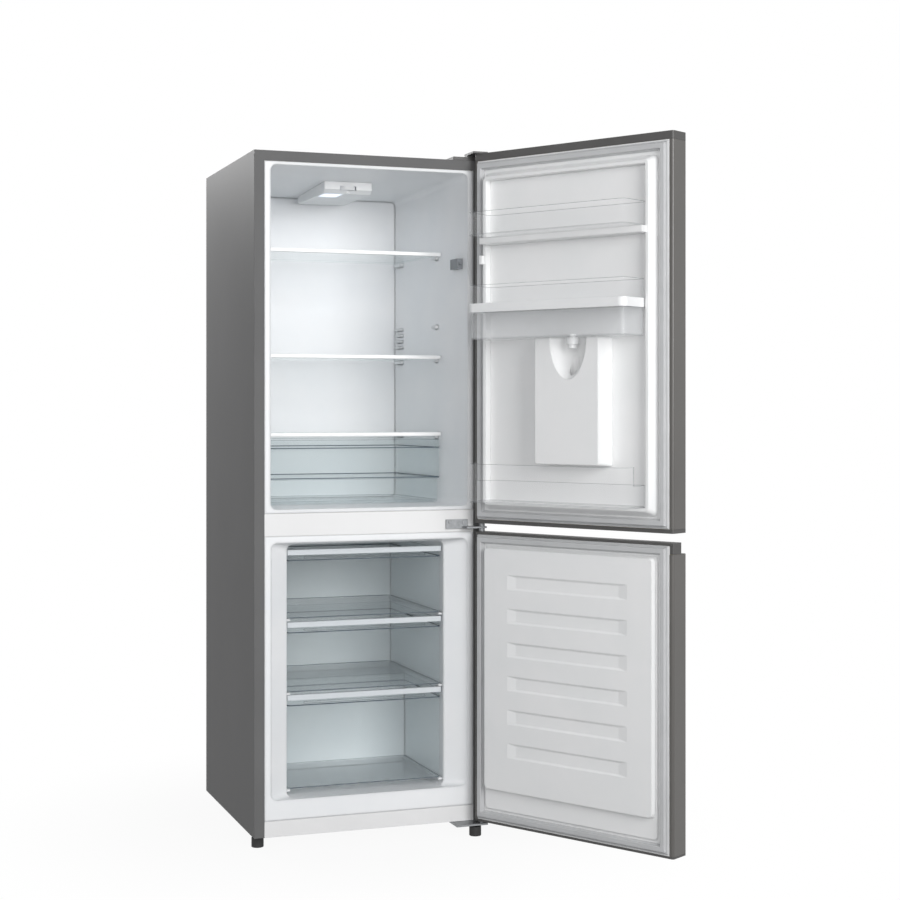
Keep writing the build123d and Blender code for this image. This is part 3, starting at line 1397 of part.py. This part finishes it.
suction = [
    (riser_pipe_x[1], riser_pipe_y, riser_pipe_top),
    (riser_pipe_x[1], riser_pipe_y, dome_top + 28),
    (-20, compressor_y, dome_top + 28),
    (-20, compressor_y, dome_top),
]

with BuildPart() as refrigerant_pipes:
    for points in (discharge, liquid, capillary, suction):
        with BuildLine(mode=Mode.PRIVATE) as route:
            FilletPolyline(*points, radius=10 if points != capillary else 8)
        start = route.wires()[0]
        with BuildSketch(Plane(origin=start @ 0, z_dir=start % 0)):
            Circle(pipe_radius)
        sweep(path=start)
    with Locations(Location((sum(drier_x) / 2, riser_pipe_y, drier_z), (0, 90, 0))):
        Cylinder(drier_radius, drier_x[1] - drier_x[0])
save(refrigerant_pipes, "refrigerant_pipes")
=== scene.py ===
from math import pi, radians

import bmesh
import bpy
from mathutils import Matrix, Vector


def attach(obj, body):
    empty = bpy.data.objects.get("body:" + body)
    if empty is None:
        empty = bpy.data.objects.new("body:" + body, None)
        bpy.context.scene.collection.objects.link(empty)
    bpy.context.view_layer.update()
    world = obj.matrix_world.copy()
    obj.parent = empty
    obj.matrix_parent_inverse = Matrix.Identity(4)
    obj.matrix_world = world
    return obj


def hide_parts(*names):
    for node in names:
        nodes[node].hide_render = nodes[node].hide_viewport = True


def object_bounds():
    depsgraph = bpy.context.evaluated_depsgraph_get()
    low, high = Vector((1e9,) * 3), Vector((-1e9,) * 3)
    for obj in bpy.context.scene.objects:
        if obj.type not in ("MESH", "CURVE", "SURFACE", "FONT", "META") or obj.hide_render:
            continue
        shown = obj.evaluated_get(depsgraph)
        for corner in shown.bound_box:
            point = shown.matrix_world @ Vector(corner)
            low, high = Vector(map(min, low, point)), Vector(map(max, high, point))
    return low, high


# A bottom freezer refrigerator with both doors standing open, dressed piece by piece in
# the order in which the factory puts it together. Metres, +Z up, -Y the front.

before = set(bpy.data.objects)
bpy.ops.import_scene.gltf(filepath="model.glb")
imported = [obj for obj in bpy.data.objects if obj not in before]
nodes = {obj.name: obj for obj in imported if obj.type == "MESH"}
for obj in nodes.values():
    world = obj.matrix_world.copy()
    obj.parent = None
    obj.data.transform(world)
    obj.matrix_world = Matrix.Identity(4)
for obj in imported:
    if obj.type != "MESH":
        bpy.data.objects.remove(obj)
cad_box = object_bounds()

# ---- Cabinet shell ----
# One sheet of steel folded into a U with a return round the front, powder coated silver
# grey on both sides before it is folded.


def linear(code):
    """An sRGB hex colour as the linear RGBA that a shader takes."""
    values = [int(code[i:i + 2], 16) / 255 for i in (1, 3, 5)]
    return (*[v / 12.92 if v < 0.0405 else ((v + 0.055) / 1.055) ** 2.4 for v in values], 1)


def add_node(material, kind, settings=None, links=None):
    """One shader node of a material or a world, with its sockets and properties set and its inputs linked."""
    node = material.node_tree.nodes.new(kind)
    for name, value in (settings or {}).items():
        if isinstance(name, int) or name in node.inputs:
            node.inputs[name].default_value = value
        else:
            setattr(node, name, value)
    for name, source in (links or {}).items():
        material.node_tree.links.new(source, node.inputs[name])
    return node


def blank_material(name):
    """A material with an empty node tree."""
    material = bpy.data.materials.new(name)
    material.use_nodes = True
    material.node_tree.nodes.clear()
    return material


def finish(material, surface):
    """Sends a surface to the material's output."""
    add_node(material, "ShaderNodeOutputMaterial", links={"Surface": surface.outputs[0]})
    return material


def mottled(name, dark, light, spread, grain, bump, rough, surface, round_edge=0.0008):
    """A hard finish of two close tones.

    spread is the size of the mottle and grain that of the texture, both in metres. bump is
    the texture's height and rough the least and the most roughness.
    """
    material = blank_material(name)
    place = add_node(material, "ShaderNodeTexCoord").outputs["Object"]
    cloud = add_node(material, "ShaderNodeTexNoise", {"Scale": 1 / spread, "Detail": 4}, {"Vector": place})
    tones = add_node(material, "ShaderNodeValToRGB", links={"Fac": cloud.outputs["Fac"]})
    tones.color_ramp.elements[0].position = 0.3
    tones.color_ramp.elements[0].color = linear(dark)
    tones.color_ramp.elements[1].position = 0.7
    tones.color_ramp.elements[1].color = linear(light)
    fine = add_node(material, "ShaderNodeTexNoise", {"Scale": 1 / grain, "Detail": 2}, {"Vector": place})
    edge = add_node(material, "ShaderNodeBevel", {"samples": 4, "Radius": round_edge})
    relief = add_node(material, "ShaderNodeBump", {"Strength": 1, "Distance": bump},
                      {"Height": fine.outputs["Fac"], "Normal": edge.outputs["Normal"]})
    shine = add_node(material, "ShaderNodeMapRange", {"To Min": rough[0], "To Max": rough[1]},
                     {"Value": cloud.outputs["Fac"]})
    return finish(material, add_node(
        material, "ShaderNodeBsdfPrincipled", surface,
        {"Base Color": tones.outputs["Color"], "Roughness": shine.outputs["Result"],
         "Normal": relief.outputs["Normal"]}))


def dress(node, material):
    """Gives a CAD node its finish."""
    nodes[node].data.materials.clear()
    nodes[node].data.materials.append(material)


# Powder-coated steel: a satin skin with a fine orange peel about 1.5 mm across.
powder_coat = mottled("powder-coated steel, silver grey", "#6A6A6A", "#707070", 0.25, 0.0015, 0.00002,
                      (0.5, 0.58), {"Specular IOR Level": 0.06}, 0.0012)
dress("outer_shell", powder_coat)

# ---- Front rails ----
# Pressed steel strips that close the shell across the front, between the two compartments
# and along the bottom, powder coated white to match the liners.

# White powder coat, a little smoother than the shell's.
white_coat = mottled("powder-coated steel, white", "#E4E4E4", "#E8E8E8", 0.2, 0.0015, 0.00001,
                     (0.34, 0.42), {})
dress("front_rails", white_coat)

# ---- Back and base ----
# The sheet that closes the back and the plate under the compressor, folded from
# zinc-coated steel and left bare where it isn't seen from the front.

# Hot-dip zinc: the spangle shows as patches about 3 cm across.
galvanised = mottled("zinc-coated steel", "#A9ADAF", "#C2C5C6", 0.03, 0.006, 0.00002, (0.32, 0.5),
                     {"Metallic": 0.9})
for name in ("back_panel", "base_plate"):
    dress(name, galvanised)

# ---- Foam ----
# Rigid polyurethane that fills the cabinet and both doors. It is poured between the steel
# and the liners, where it sets and holds them together.

# Poured foam: matt, with fine pores about 2 mm across.
foam = mottled("poured polyurethane foam", "#D9C48F", "#E5D3A4", 0.02, 0.002, 0.0004, (0.8, 0.95), {})
for name in ("cabinet_foam", "fridge_door_foam", "freezer_door_foam"):
    dress(name, foam)

# ---- Liners ----
# The white inner walls of the cabinet and of the doors: polystyrene sheet drawn hot over
# a mould, which leaves soft corners, 7 mm round in the cabinet and 4 mm in the doors.

# Thermoformed polystyrene: smooth and half gloss.
liner_plastic = mottled("thermoformed polystyrene, white", "#EAECEE", "#EFF0F1", 0.12, 0.002, 0.00001,
                        (0.32, 0.4), {}, 0.007)
for name in ("fridge_liner", "freezer_liner"):
    dress(name, liner_plastic)
# The door liners take a paler copy of the same polystyrene: painted light, lifting them where they face away
# from the key lamp.
door_plastic_painted_lighter = mottled("thermoformed polystyrene, door liner", "#EEEFEF", "#F2F2F2", 0.12, 0.002, 0.00001,
                       (0.32, 0.4), {}, 0.004)
for name in ("fridge_door_liner", "freezer_door_liner"):
    dress(name, door_plastic_painted_lighter)

# ---- Lamp, thermostat and light switch ----
# The lamp box hangs from the ceiling with the thermostat's wheel in it, and a clipped-in
# lens under the bulb glows. The light switch sits in the right wall, near its front edge.

# White ABS with a very fine grain.
white_abs = mottled("moulded ABS, white", "#EDEEEF", "#F2F3F3", 0.06, 0.0008, 0.00001, (0.3, 0.4), {})
for name in ("lamp_housing", "thermostat_knob"):
    dress(name, white_abs)
# Grey ABS for the switch.
grey_abs = mottled("moulded ABS, mid grey", "#7C8084", "#85898D", 0.02, 0.0008, 0.00001, (0.35, 0.45), {})
for name in ("switch_housing", "switch_plunger"):
    dress(name, grey_abs)
# Frosted polystyrene for the lens and the lit bulb behind it.
lens_glow = mottled("frosted polystyrene lens, lit", "#E8F0FF", "#F4F8FF", 0.02, 0.0006, 0.00002, (0.4, 0.5),
                    {"Emission Color": linear("#DCE8FF"), "Emission Strength": 0.9})
for name in ("lamp_lens", "lamp_bulb"):
    dress(name, lens_glow)

# ---- Shelves ----
# Two glass shelves and the crisper's cover, which rest on lugs of the fridge's liner.
# Toughened glass with ground edges, each in a white trim pushed over its front edge.


def clear(name, tone, edge_shade_tone, passes, haze, slant, lip=None, ribs=None, bands=()):
    """A clear moulding: see-through face on, paler at a slant and darker along its edges in painted shade.

    passes is what one surface lets through and haze how solid it looks face on. A lip is
    frosted above one height and ahead of one depth; ribs cross the floor below a height; a
    band is the height of a moulded line that runs round it. Ribs and bands are drawn as dark
    stripes and lines in the same painted shade as the edges.
    """
    edge_round = 0.0014
    half_band = 0.0011
    half_rib_pitch = 0.0055
    rib_foot = 0.0036
    rib_crest = 0.005
    rib_weight = 0.95
    edge_shade_weight = 0.95
    frost_weight = 0.85
    material = blank_material(name)
    place = add_node(material, "ShaderNodeTexCoord").outputs["Object"]
    axes = add_node(material, "ShaderNodeSeparateXYZ", links={0: place}).outputs
    flow = add_node(material, "ShaderNodeTexNoise", {"Scale": 1 / 0.05, "Detail": 2}, {"Vector": place})
    relief = add_node(material, "ShaderNodeBump", {"Strength": 1, "Distance": 0.0001},
                      {"Height": flow.outputs["Fac"]})

    # An edge is where the rounded normal turns away from the face's own. There the moulding turns solid and
    # dark: painted edge shade.
    flat = add_node(material, "ShaderNodeNewGeometry").outputs["True Normal"]
    rounded = add_node(material, "ShaderNodeBevel", {"samples": 6, "Radius": edge_round}).outputs["Normal"]
    turn = add_node(material, "ShaderNodeVectorMath", {"operation": "DOT_PRODUCT"}, {0: rounded, 1: flat})
    turn = add_node(material, "ShaderNodeMath", {"operation": "ABSOLUTE"}, {0: turn.outputs["Value"]})
    edge = add_node(material, "ShaderNodeMapRange", {"From Min": 0.995, "From Max": 0.92},
                    {"Value": turn.outputs[0]}).outputs["Result"]
    # Moulded bands and floor ribs join the edges, so they take the same painted shade.
    for height in bands:
        line = add_node(material, "ShaderNodeMath", {"operation": "COMPARE", 1: height, 2: half_band},
                        {0: axes["Z"]})
        edge = add_node(material, "ShaderNodeMath", {"operation": "MAXIMUM"},
                        {0: edge, 1: line.outputs[0]}).outputs[0]
    if ribs:
        wave = add_node(material, "ShaderNodeMath", {"operation": "PINGPONG", 1: half_rib_pitch},
                        {0: axes["Y"]})
        crest = add_node(material, "ShaderNodeMapRange",
                         {"From Min": rib_foot, "From Max": rib_crest, "To Max": rib_weight},
                         {"Value": wave.outputs[0]})
        low = add_node(material, "ShaderNodeMath", {"operation": "LESS_THAN", 1: ribs}, {0: axes["Z"]})
        crest = add_node(material, "ShaderNodeMath", {"operation": "MULTIPLY"},
                         {0: crest.outputs[0], 1: low.outputs[0]})
        edge = add_node(material, "ShaderNodeMath", {"operation": "MAXIMUM"},
                        {0: edge, 1: crest.outputs[0]}).outputs[0]

    facing = add_node(material, "ShaderNodeLayerWeight", {"Blend": 0.5}).outputs["Facing"]
    grazing = add_node(material, "ShaderNodeMath", {"operation": "POWER", 1: 4.0}, {0: facing}).outputs[0]
    veil = add_node(material, "ShaderNodeMath", {"operation": "MULTIPLY_ADD", 1: slant, 2: haze}, {0: grazing})
    solid = add_node(material, "ShaderNodeMath",
                     {"operation": "MULTIPLY_ADD", 1: edge_shade_weight, "use_clamp": True},
                     {0: edge, 2: veil.outputs[0]}).outputs[0]
    # Along the edges the colour turns to the dark edge tone: painted shade.
    colour = add_node(material, "ShaderNodeMix", {"data_type": "RGBA", 6: linear(tone), 7: linear(edge_shade_tone)},
                      {0: edge}).outputs[2]
    if lip:
        high = add_node(material, "ShaderNodeMath", {"operation": "GREATER_THAN", 1: lip[0]}, {0: axes["Z"]})
        ahead = add_node(material, "ShaderNodeMath", {"operation": "LESS_THAN", 1: lip[1]}, {0: axes["Y"]})
        frost = add_node(material, "ShaderNodeMath", {"operation": "MULTIPLY"},
                         {0: high.outputs[0], 1: ahead.outputs[0]})
        frost = add_node(material, "ShaderNodeMath", {"operation": "MULTIPLY", 1: frost_weight},
                         {0: frost.outputs[0]}).outputs[0]
        solid = add_node(material, "ShaderNodeMath", {"operation": "MAXIMUM"}, {0: solid, 1: frost}).outputs[0]
        colour = add_node(material, "ShaderNodeMix", {"data_type": "RGBA", 7: linear("#DCE1E5")},
                          {0: frost, 6: colour}).outputs[2]

    body = add_node(material, "ShaderNodeBsdfPrincipled", {"Roughness": 0.08, "IOR": 1.5, "Coat Weight": 0.3},
                    {"Base Color": colour, "Normal": relief.outputs["Normal"]})
    film = add_node(material, "ShaderNodeBsdfTransparent", {"Color": linear(passes)})
    both = add_node(material, "ShaderNodeMixShader", links={0: solid, 1: film.outputs[0], 2: body.outputs[0]})
    return finish(material, both)


# Toughened glass: clear face on, with the green of soda-lime glass along its edges, darkened there as painted
# shade.
shelf_glass = clear("toughened glass", "#E4ECEA", "#8FA39F", "#FDFEFE", 0.02, 0.3)
for name in ("upper_shelf_glass", "lower_shelf_glass", "crisper_cover_glass"):
    dress(name, shelf_glass)
# White PVC, extruded, with a slight gloss.
shelf_trim = mottled("extruded PVC, white", "#F4F5F5", "#F8F8F8", 0.05, 0.001, 0.00001, (0.2, 0.28), {})
for name in ("upper_shelf_trim", "lower_shelf_trim", "crisper_cover_trim"):
    dress(name, shelf_trim)

# ---- Crisper and freezer drawers ----
# One drawer under the glass cover and three in the freezer, injection moulded in clear
# polystyrene. A freezer drawer has a frosted bar along its front and a ribbed floor.
crisper_lines = (0.8017, 0.8732)  # heights of the two lines moulded round the crisper
lip_height = 0.012
lip_back = -0.1985
rib_height = 0.0035  # from a drawer's underside to the tops of the ribs
line_drop = 0.024  # from a drawer's top down to the line moulded round it

# Moulded polystyrene with a faint blue tint, set in a darker tone than the other clear parts as painted shade,
# with dark edges and lines of painted shade.
crisper_plastic_shaded = clear("moulded polystyrene, crisper", "#C9D0D4", "#4B5863", "#FDFEFE", 0.03, 0.3,
                        bands=crisper_lines)
dress("crisper_drawer", crisper_plastic_shaded)
# The freezer drawers' polystyrene takes a paler tone than the crisper's and a darker one than the bins': copies
# of one plastic in painted light and shade, with dark edges, lines and rib stripes of painted shade.
for name in ("freezer_drawer_top", "freezer_drawer_middle", "freezer_drawer_bottom"):
    heights = [corner[2] for corner in nodes[name].bound_box]
    top = max(heights)
    dress(name, clear("moulded polystyrene, " + name.replace("_", " "), "#DCE2E7", "#46525D", "#FEFFFF",
                      0.025, 0.25, lip=(top - lip_height, lip_back), ribs=min(heights) + rib_height,
                      bands=(top - line_drop,)))

# ---- Doors ----
# Coated steel wraps round the foam of both doors. Moulded caps close the top and bottom
# ends, and the cover over the top hinge is moulded in the same plastic.

# Vinyl-coated steel: warm silver grey, smoother than the cabinet's powder coat.
door_coat = mottled("vinyl-coated steel, silver grey", "#53514E", "#595754", 0.25, 0.0012, 0.00001,
                    (0.3, 0.38), {"Coat Weight": 0.15, "Coat Roughness": 0.25})
for name in ("fridge_door_skin", "freezer_door_skin"):
    dress(name, door_coat)
# Dark grey ABS with a fine grain.
dark_abs = mottled("moulded ABS, dark grey", "#484746", "#4E4D4C", 0.08, 0.0008, 0.00002, (0.4, 0.5), {})
for name in ("hinge_cover", "fridge_door_top_cap", "fridge_door_bottom_cap", "freezer_door_top_cap",
             "freezer_door_bottom_cap"):
    dress(name, dark_abs)

# ---- Door seals ----
# Extruded soft PVC, welded into a ring at mitred corners and fixed round the door's liner:
# a bellows with a magnet strip in its face. It takes the place of the plain CAD ring.
hinge_axis = Vector((0.263, -0.286, 0))
along_door = Vector((0.5, -0.8660254, 0))
out_of_door = Vector((0.8660254, 0.5, 0))
seal_base = -0.0143  # from the hinge axis out to the liner's face
seal_width = 0.526
seal_heights = {"fridge_door": (0.711, 1.541), "freezer_door": (0.014, 0.6735)}
# Across the seal from its outer edge, with the height above the liner.
seal_profile = [(0.0010, 0.0), (0.0002, 0.0012), (0.0002, 0.0028), (0.0012, 0.0040), (0.0026, 0.0044),
                (0.0036, 0.0036), (0.0046, 0.0040), (0.0050, 0.0052), (0.0050, 0.0098), (0.0056, 0.0108),
                (0.0066, 0.0113), (0.0150, 0.0113), (0.0160, 0.0108), (0.0166, 0.0098), (0.0166, 0.0056),
                (0.0172, 0.0044), (0.0182, 0.0042), (0.0192, 0.0036), (0.0198, 0.0024), (0.0198, 0.0)]

# Soft PVC: light grey and matt.
seal_vinyl = mottled("extruded soft PVC, grey", "#BEBFC0", "#C5C6C7", 0.06, 0.001, 0.00001,
                     (0.5, 0.6), {}, 0.0006)
for door, (low, high) in seal_heights.items():
    ring = bmesh.new()
    loops = []
    for inset, height in seal_profile:
        corners = ((inset, low + inset), (seal_width - inset, low + inset),
                   (seal_width - inset, high - inset), (inset, high - inset))
        face = hinge_axis + out_of_door * (seal_base - height)
        loops.append([ring.verts.new(face + along_door * u + Vector((0, 0, z))) for u, z in corners])
    for first, second in zip(loops, loops[1:] + loops[:1]):
        for side in range(4):
            after = (side + 1) % 4
            ring.faces.new((first[side], first[after], second[after], second[side]))
    bmesh.ops.recalc_face_normals(ring, faces=ring.faces)
    seal_mesh = bpy.data.meshes.new(door + "_seal")
    ring.to_mesh(seal_mesh)
    ring.free()
    seal = bpy.data.objects.new(door + "_seal", seal_mesh)
    bpy.context.scene.collection.objects.link(seal)
    seal_mesh.materials.append(seal_vinyl)
    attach(seal, door)
    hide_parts(door + "_gasket")

# ---- Door bins, water tank and rail ----
# Two clear trays and a rail that hang on the fridge door's liner, and the water tank with
# its white lid, filling flap and valve. All are injection moulded.

# Clear moulded polystyrene without a tint, with dark edges of painted shade.
bin_plastic = clear("moulded polystyrene, door bins", "#F2F4F5", "#3A4047", "#FFFFFF", 0.03, 0.3)
for name in ("upper_bin", "lower_bin", "tank_rail"):
    dress(name, bin_plastic)
# The tank has more haze than the bins, so it looks paler and more solid: painted light that lifts it where it
# sits in shade under its lid, with dark edges of painted shade.
tank_plastic_painted_light = clear("moulded styrene copolymer, water tank", "#F6F8FA", "#3A4047", "#FFFFFF", 0.12, 0.3)
dress("water_tank", tank_plastic_painted_light)
for name in ("tank_valve", "tank_lid", "tank_flap"):
    dress(name, white_abs)

# ---- Water dispenser ----
# The recess let into the outside of the fridge door, with the lever that a glass pushes,
# the nozzle above it and the tray that catches drips. All are moulded.

# Black ABS with a fine grain.
dispenser_abs = mottled("moulded ABS, black", "#2C2C2C", "#323232", 0.08, 0.0008, 0.00002, (0.35, 0.45), {})
for name in ("dispenser_recess", "dispenser_lever", "dispenser_nozzle", "drip_tray"):
    dress(name, dispenser_abs)

# ---- Hinges ----
# Three brackets of pressed steel with fixed pins, at the top, between the doors and at the
# bottom, and the screws that hold them to the cabinet.

# Zinc-plated steel: dull, with a blotchy skin.
plated_steel = mottled("zinc-plated steel", "#7C7E80", "#929496", 0.008, 0.001, 0.00003, (0.35, 0.5),
                       {"Metallic": 0.8})
for name in ("top_hinge_bracket", "middle_hinge_bracket", "bottom_hinge_bracket", "hinge_screws"):
    dress(name, plated_steel)

# ---- Refrigeration ----
# A welded, enamelled compressor on rubber feet, a wire-and-tube condenser on the back, and
# copper pipes to the aluminium cold plates. The cabinet's feet and rollers are black too.

# Baked black enamel.
black_enamel = mottled("baked enamel, black", "#161616", "#1C1C1C", 0.05, 0.002, 0.00004, (0.3, 0.42), {})
for name in ("compressor", "condenser"):
    dress(name, black_enamel)
# Moulded black rubber, matt.
black_rubber = mottled("moulded rubber, black", "#1E1E1E", "#262626", 0.02, 0.001, 0.00003, (0.6, 0.75), {})
for name in ("rubber_grommets", "front_foot_left", "front_foot_right", "rear_roller_left", "rear_roller_right"):
    dress(name, black_rubber)
# Drawn copper tube, slightly tarnished.
copper = mottled("drawn copper tube", "#B87350", "#C98560", 0.02, 0.002, 0.00001, (0.25, 0.4),
                 {"Metallic": 1.0})
dress("refrigerant_pipes", copper)
# Rolled aluminium sheet.
aluminium = mottled("rolled aluminium sheet", "#B9BBBD", "#C4C6C8", 0.03, 0.001, 0.00001, (0.3, 0.4),
                    {"Metallic": 1.0})
dress("evaporator_plates", aluminium)

# ---- Studio ----
# A white disc under the feet that keeps the shadow near the object and runs out to the
# white of the room. A large soft lamp stands in front, a weaker one to the left and a small
# one behind the left side, and the fridge has its own lamp.
floor_height = cad_box[0][2]
floor_radius = 9.0
shadow_radius = 0.2
white_radius = 1.0

disc = bmesh.new()
bmesh.ops.create_circle(disc, cap_ends=True, radius=floor_radius, segments=96)
bmesh.ops.translate(disc, verts=disc.verts, vec=(0, 0, floor_height))
floor_mesh = bpy.data.meshes.new("studio_floor")
disc.to_mesh(floor_mesh)
disc.free()
floor = bpy.data.objects.new("studio_floor", floor_mesh)
bpy.context.scene.collection.objects.link(floor)
# White paper that shows its shadow near the feet and its own white further out.
paper = blank_material("white studio paper")
place = add_node(paper, "ShaderNodeTexCoord").outputs["Object"]
reach = add_node(paper, "ShaderNodeVectorMath", {"operation": "LENGTH"}, {0: place})
fade = add_node(paper, "ShaderNodeMapRange",
                {"interpolation_type": "SMOOTHSTEP", "From Min": shadow_radius, "From Max": white_radius,
                 "To Min": 0.93, "To Max": 1.0}, {"Value": reach.outputs["Value"]})
path = add_node(paper, "ShaderNodeLightPath")
seen = add_node(paper, "ShaderNodeMath", {"operation": "MAXIMUM"},
                {0: path.outputs["Is Camera Ray"], 1: path.outputs["Is Glossy Ray"]})
share = add_node(paper, "ShaderNodeMath", {"operation": "MULTIPLY"},
                 {0: fade.outputs["Result"], 1: seen.outputs[0]})
matt = add_node(paper, "ShaderNodeBsdfDiffuse", {"Color": linear("#B4B4B4")})
glow = add_node(paper, "ShaderNodeEmission", {"Color": (1, 1, 1, 1), "Strength": 1.0})
finish(paper, add_node(paper, "ShaderNodeMixShader",
                       links={0: share.outputs[0], 1: matt.outputs[0], 2: glow.outputs[0]}))
floor_mesh.materials.append(paper)

world = bpy.data.worlds.new("studio room")
bpy.context.scene.world = world
world.use_nodes = True
world.node_tree.nodes.clear()
path = add_node(world, "ShaderNodeLightPath")
dim = add_node(world, "ShaderNodeBackground", {"Color": linear("#FBFCFF"), "Strength": 0.32})
white = add_node(world, "ShaderNodeBackground", {"Color": (1, 1, 1, 1), "Strength": 1.0})
seen = add_node(world, "ShaderNodeMath", {"operation": "ADD"},
                {0: path.outputs["Is Camera Ray"], 1: path.outputs["Is Glossy Ray"]})
seen = add_node(world, "ShaderNodeMath", {"operation": "ADD", "use_clamp": True},
                {0: seen.outputs[0], 1: path.outputs["Is Transmission Ray"]})
both = add_node(world, "ShaderNodeMixShader",
                links={0: seen.outputs[0], 1: dim.outputs[0], 2: white.outputs[0]})
add_node(world, "ShaderNodeOutputWorld", links={"Surface": both.outputs[0]})


def soft_lamp(name, place, aim, size, power, colour="#FFFFFF"):
    """A square area lamp at a place, turned to face a point."""
    data = bpy.data.lights.new(name, "AREA")
    data.shape = "SQUARE"
    data.size = size
    data.energy = power
    data.color = linear(colour)[:3]
    lamp = bpy.data.objects.new(name, data)
    lamp.location = place
    lamp.rotation_euler = (Vector(aim) - Vector(place)).to_track_quat("-Z", "Y").to_euler()
    bpy.context.scene.collection.objects.link(lamp)


soft_lamp("key softbox", (0.9, -4.5, 2.0), (0, 0, 0.85), 2.0, 116)
soft_lamp("fill softbox", (-2.0, -4.0, 1.6), (0, 0, 0.85), 2.0, 38)
soft_lamp("rear edge lamp", (-0.75, 1.1, 1.9), (-0.27, 0.3, 1.0), 0.5, 15)
soft_lamp("fridge lamp", (0, -0.06, 1.478), (0, 0.05, 0.8), 0.09, 0.07, "#E6EEFF")
# Clear drawers stand behind clear bins, so a ray may meet many clear faces in a row.
bpy.context.scene.cycles.transparent_max_bounces = 40

# ---- Camera ----
# It stands about a metre above the floor, left of the middle, and looks level: the lens is
# shifted down a little instead of tilted, so that upright edges stay upright.
camera_place = (-1.176, -4.040, 0.970)
camera_turn = 19.91
picture = 900
focal_pixels = 1717.8
horizon_row = 407.4
sensor = 0.036
lens_data = bpy.data.cameras.new("camera")
lens_data.sensor_width = sensor * 1000
lens_data.lens = focal_pixels / picture * sensor * 1000
lens_data.shift_y = (horizon_row - picture / 2) / picture
camera = bpy.data.objects.new("camera", lens_data)
camera.location = camera_place
camera.rotation_euler = (pi / 2, 0, -radians(camera_turn))
bpy.context.scene.collection.objects.link(camera)
bpy.context.scene.camera = camera
bpy.context.scene.view_settings.view_transform = "Standard"
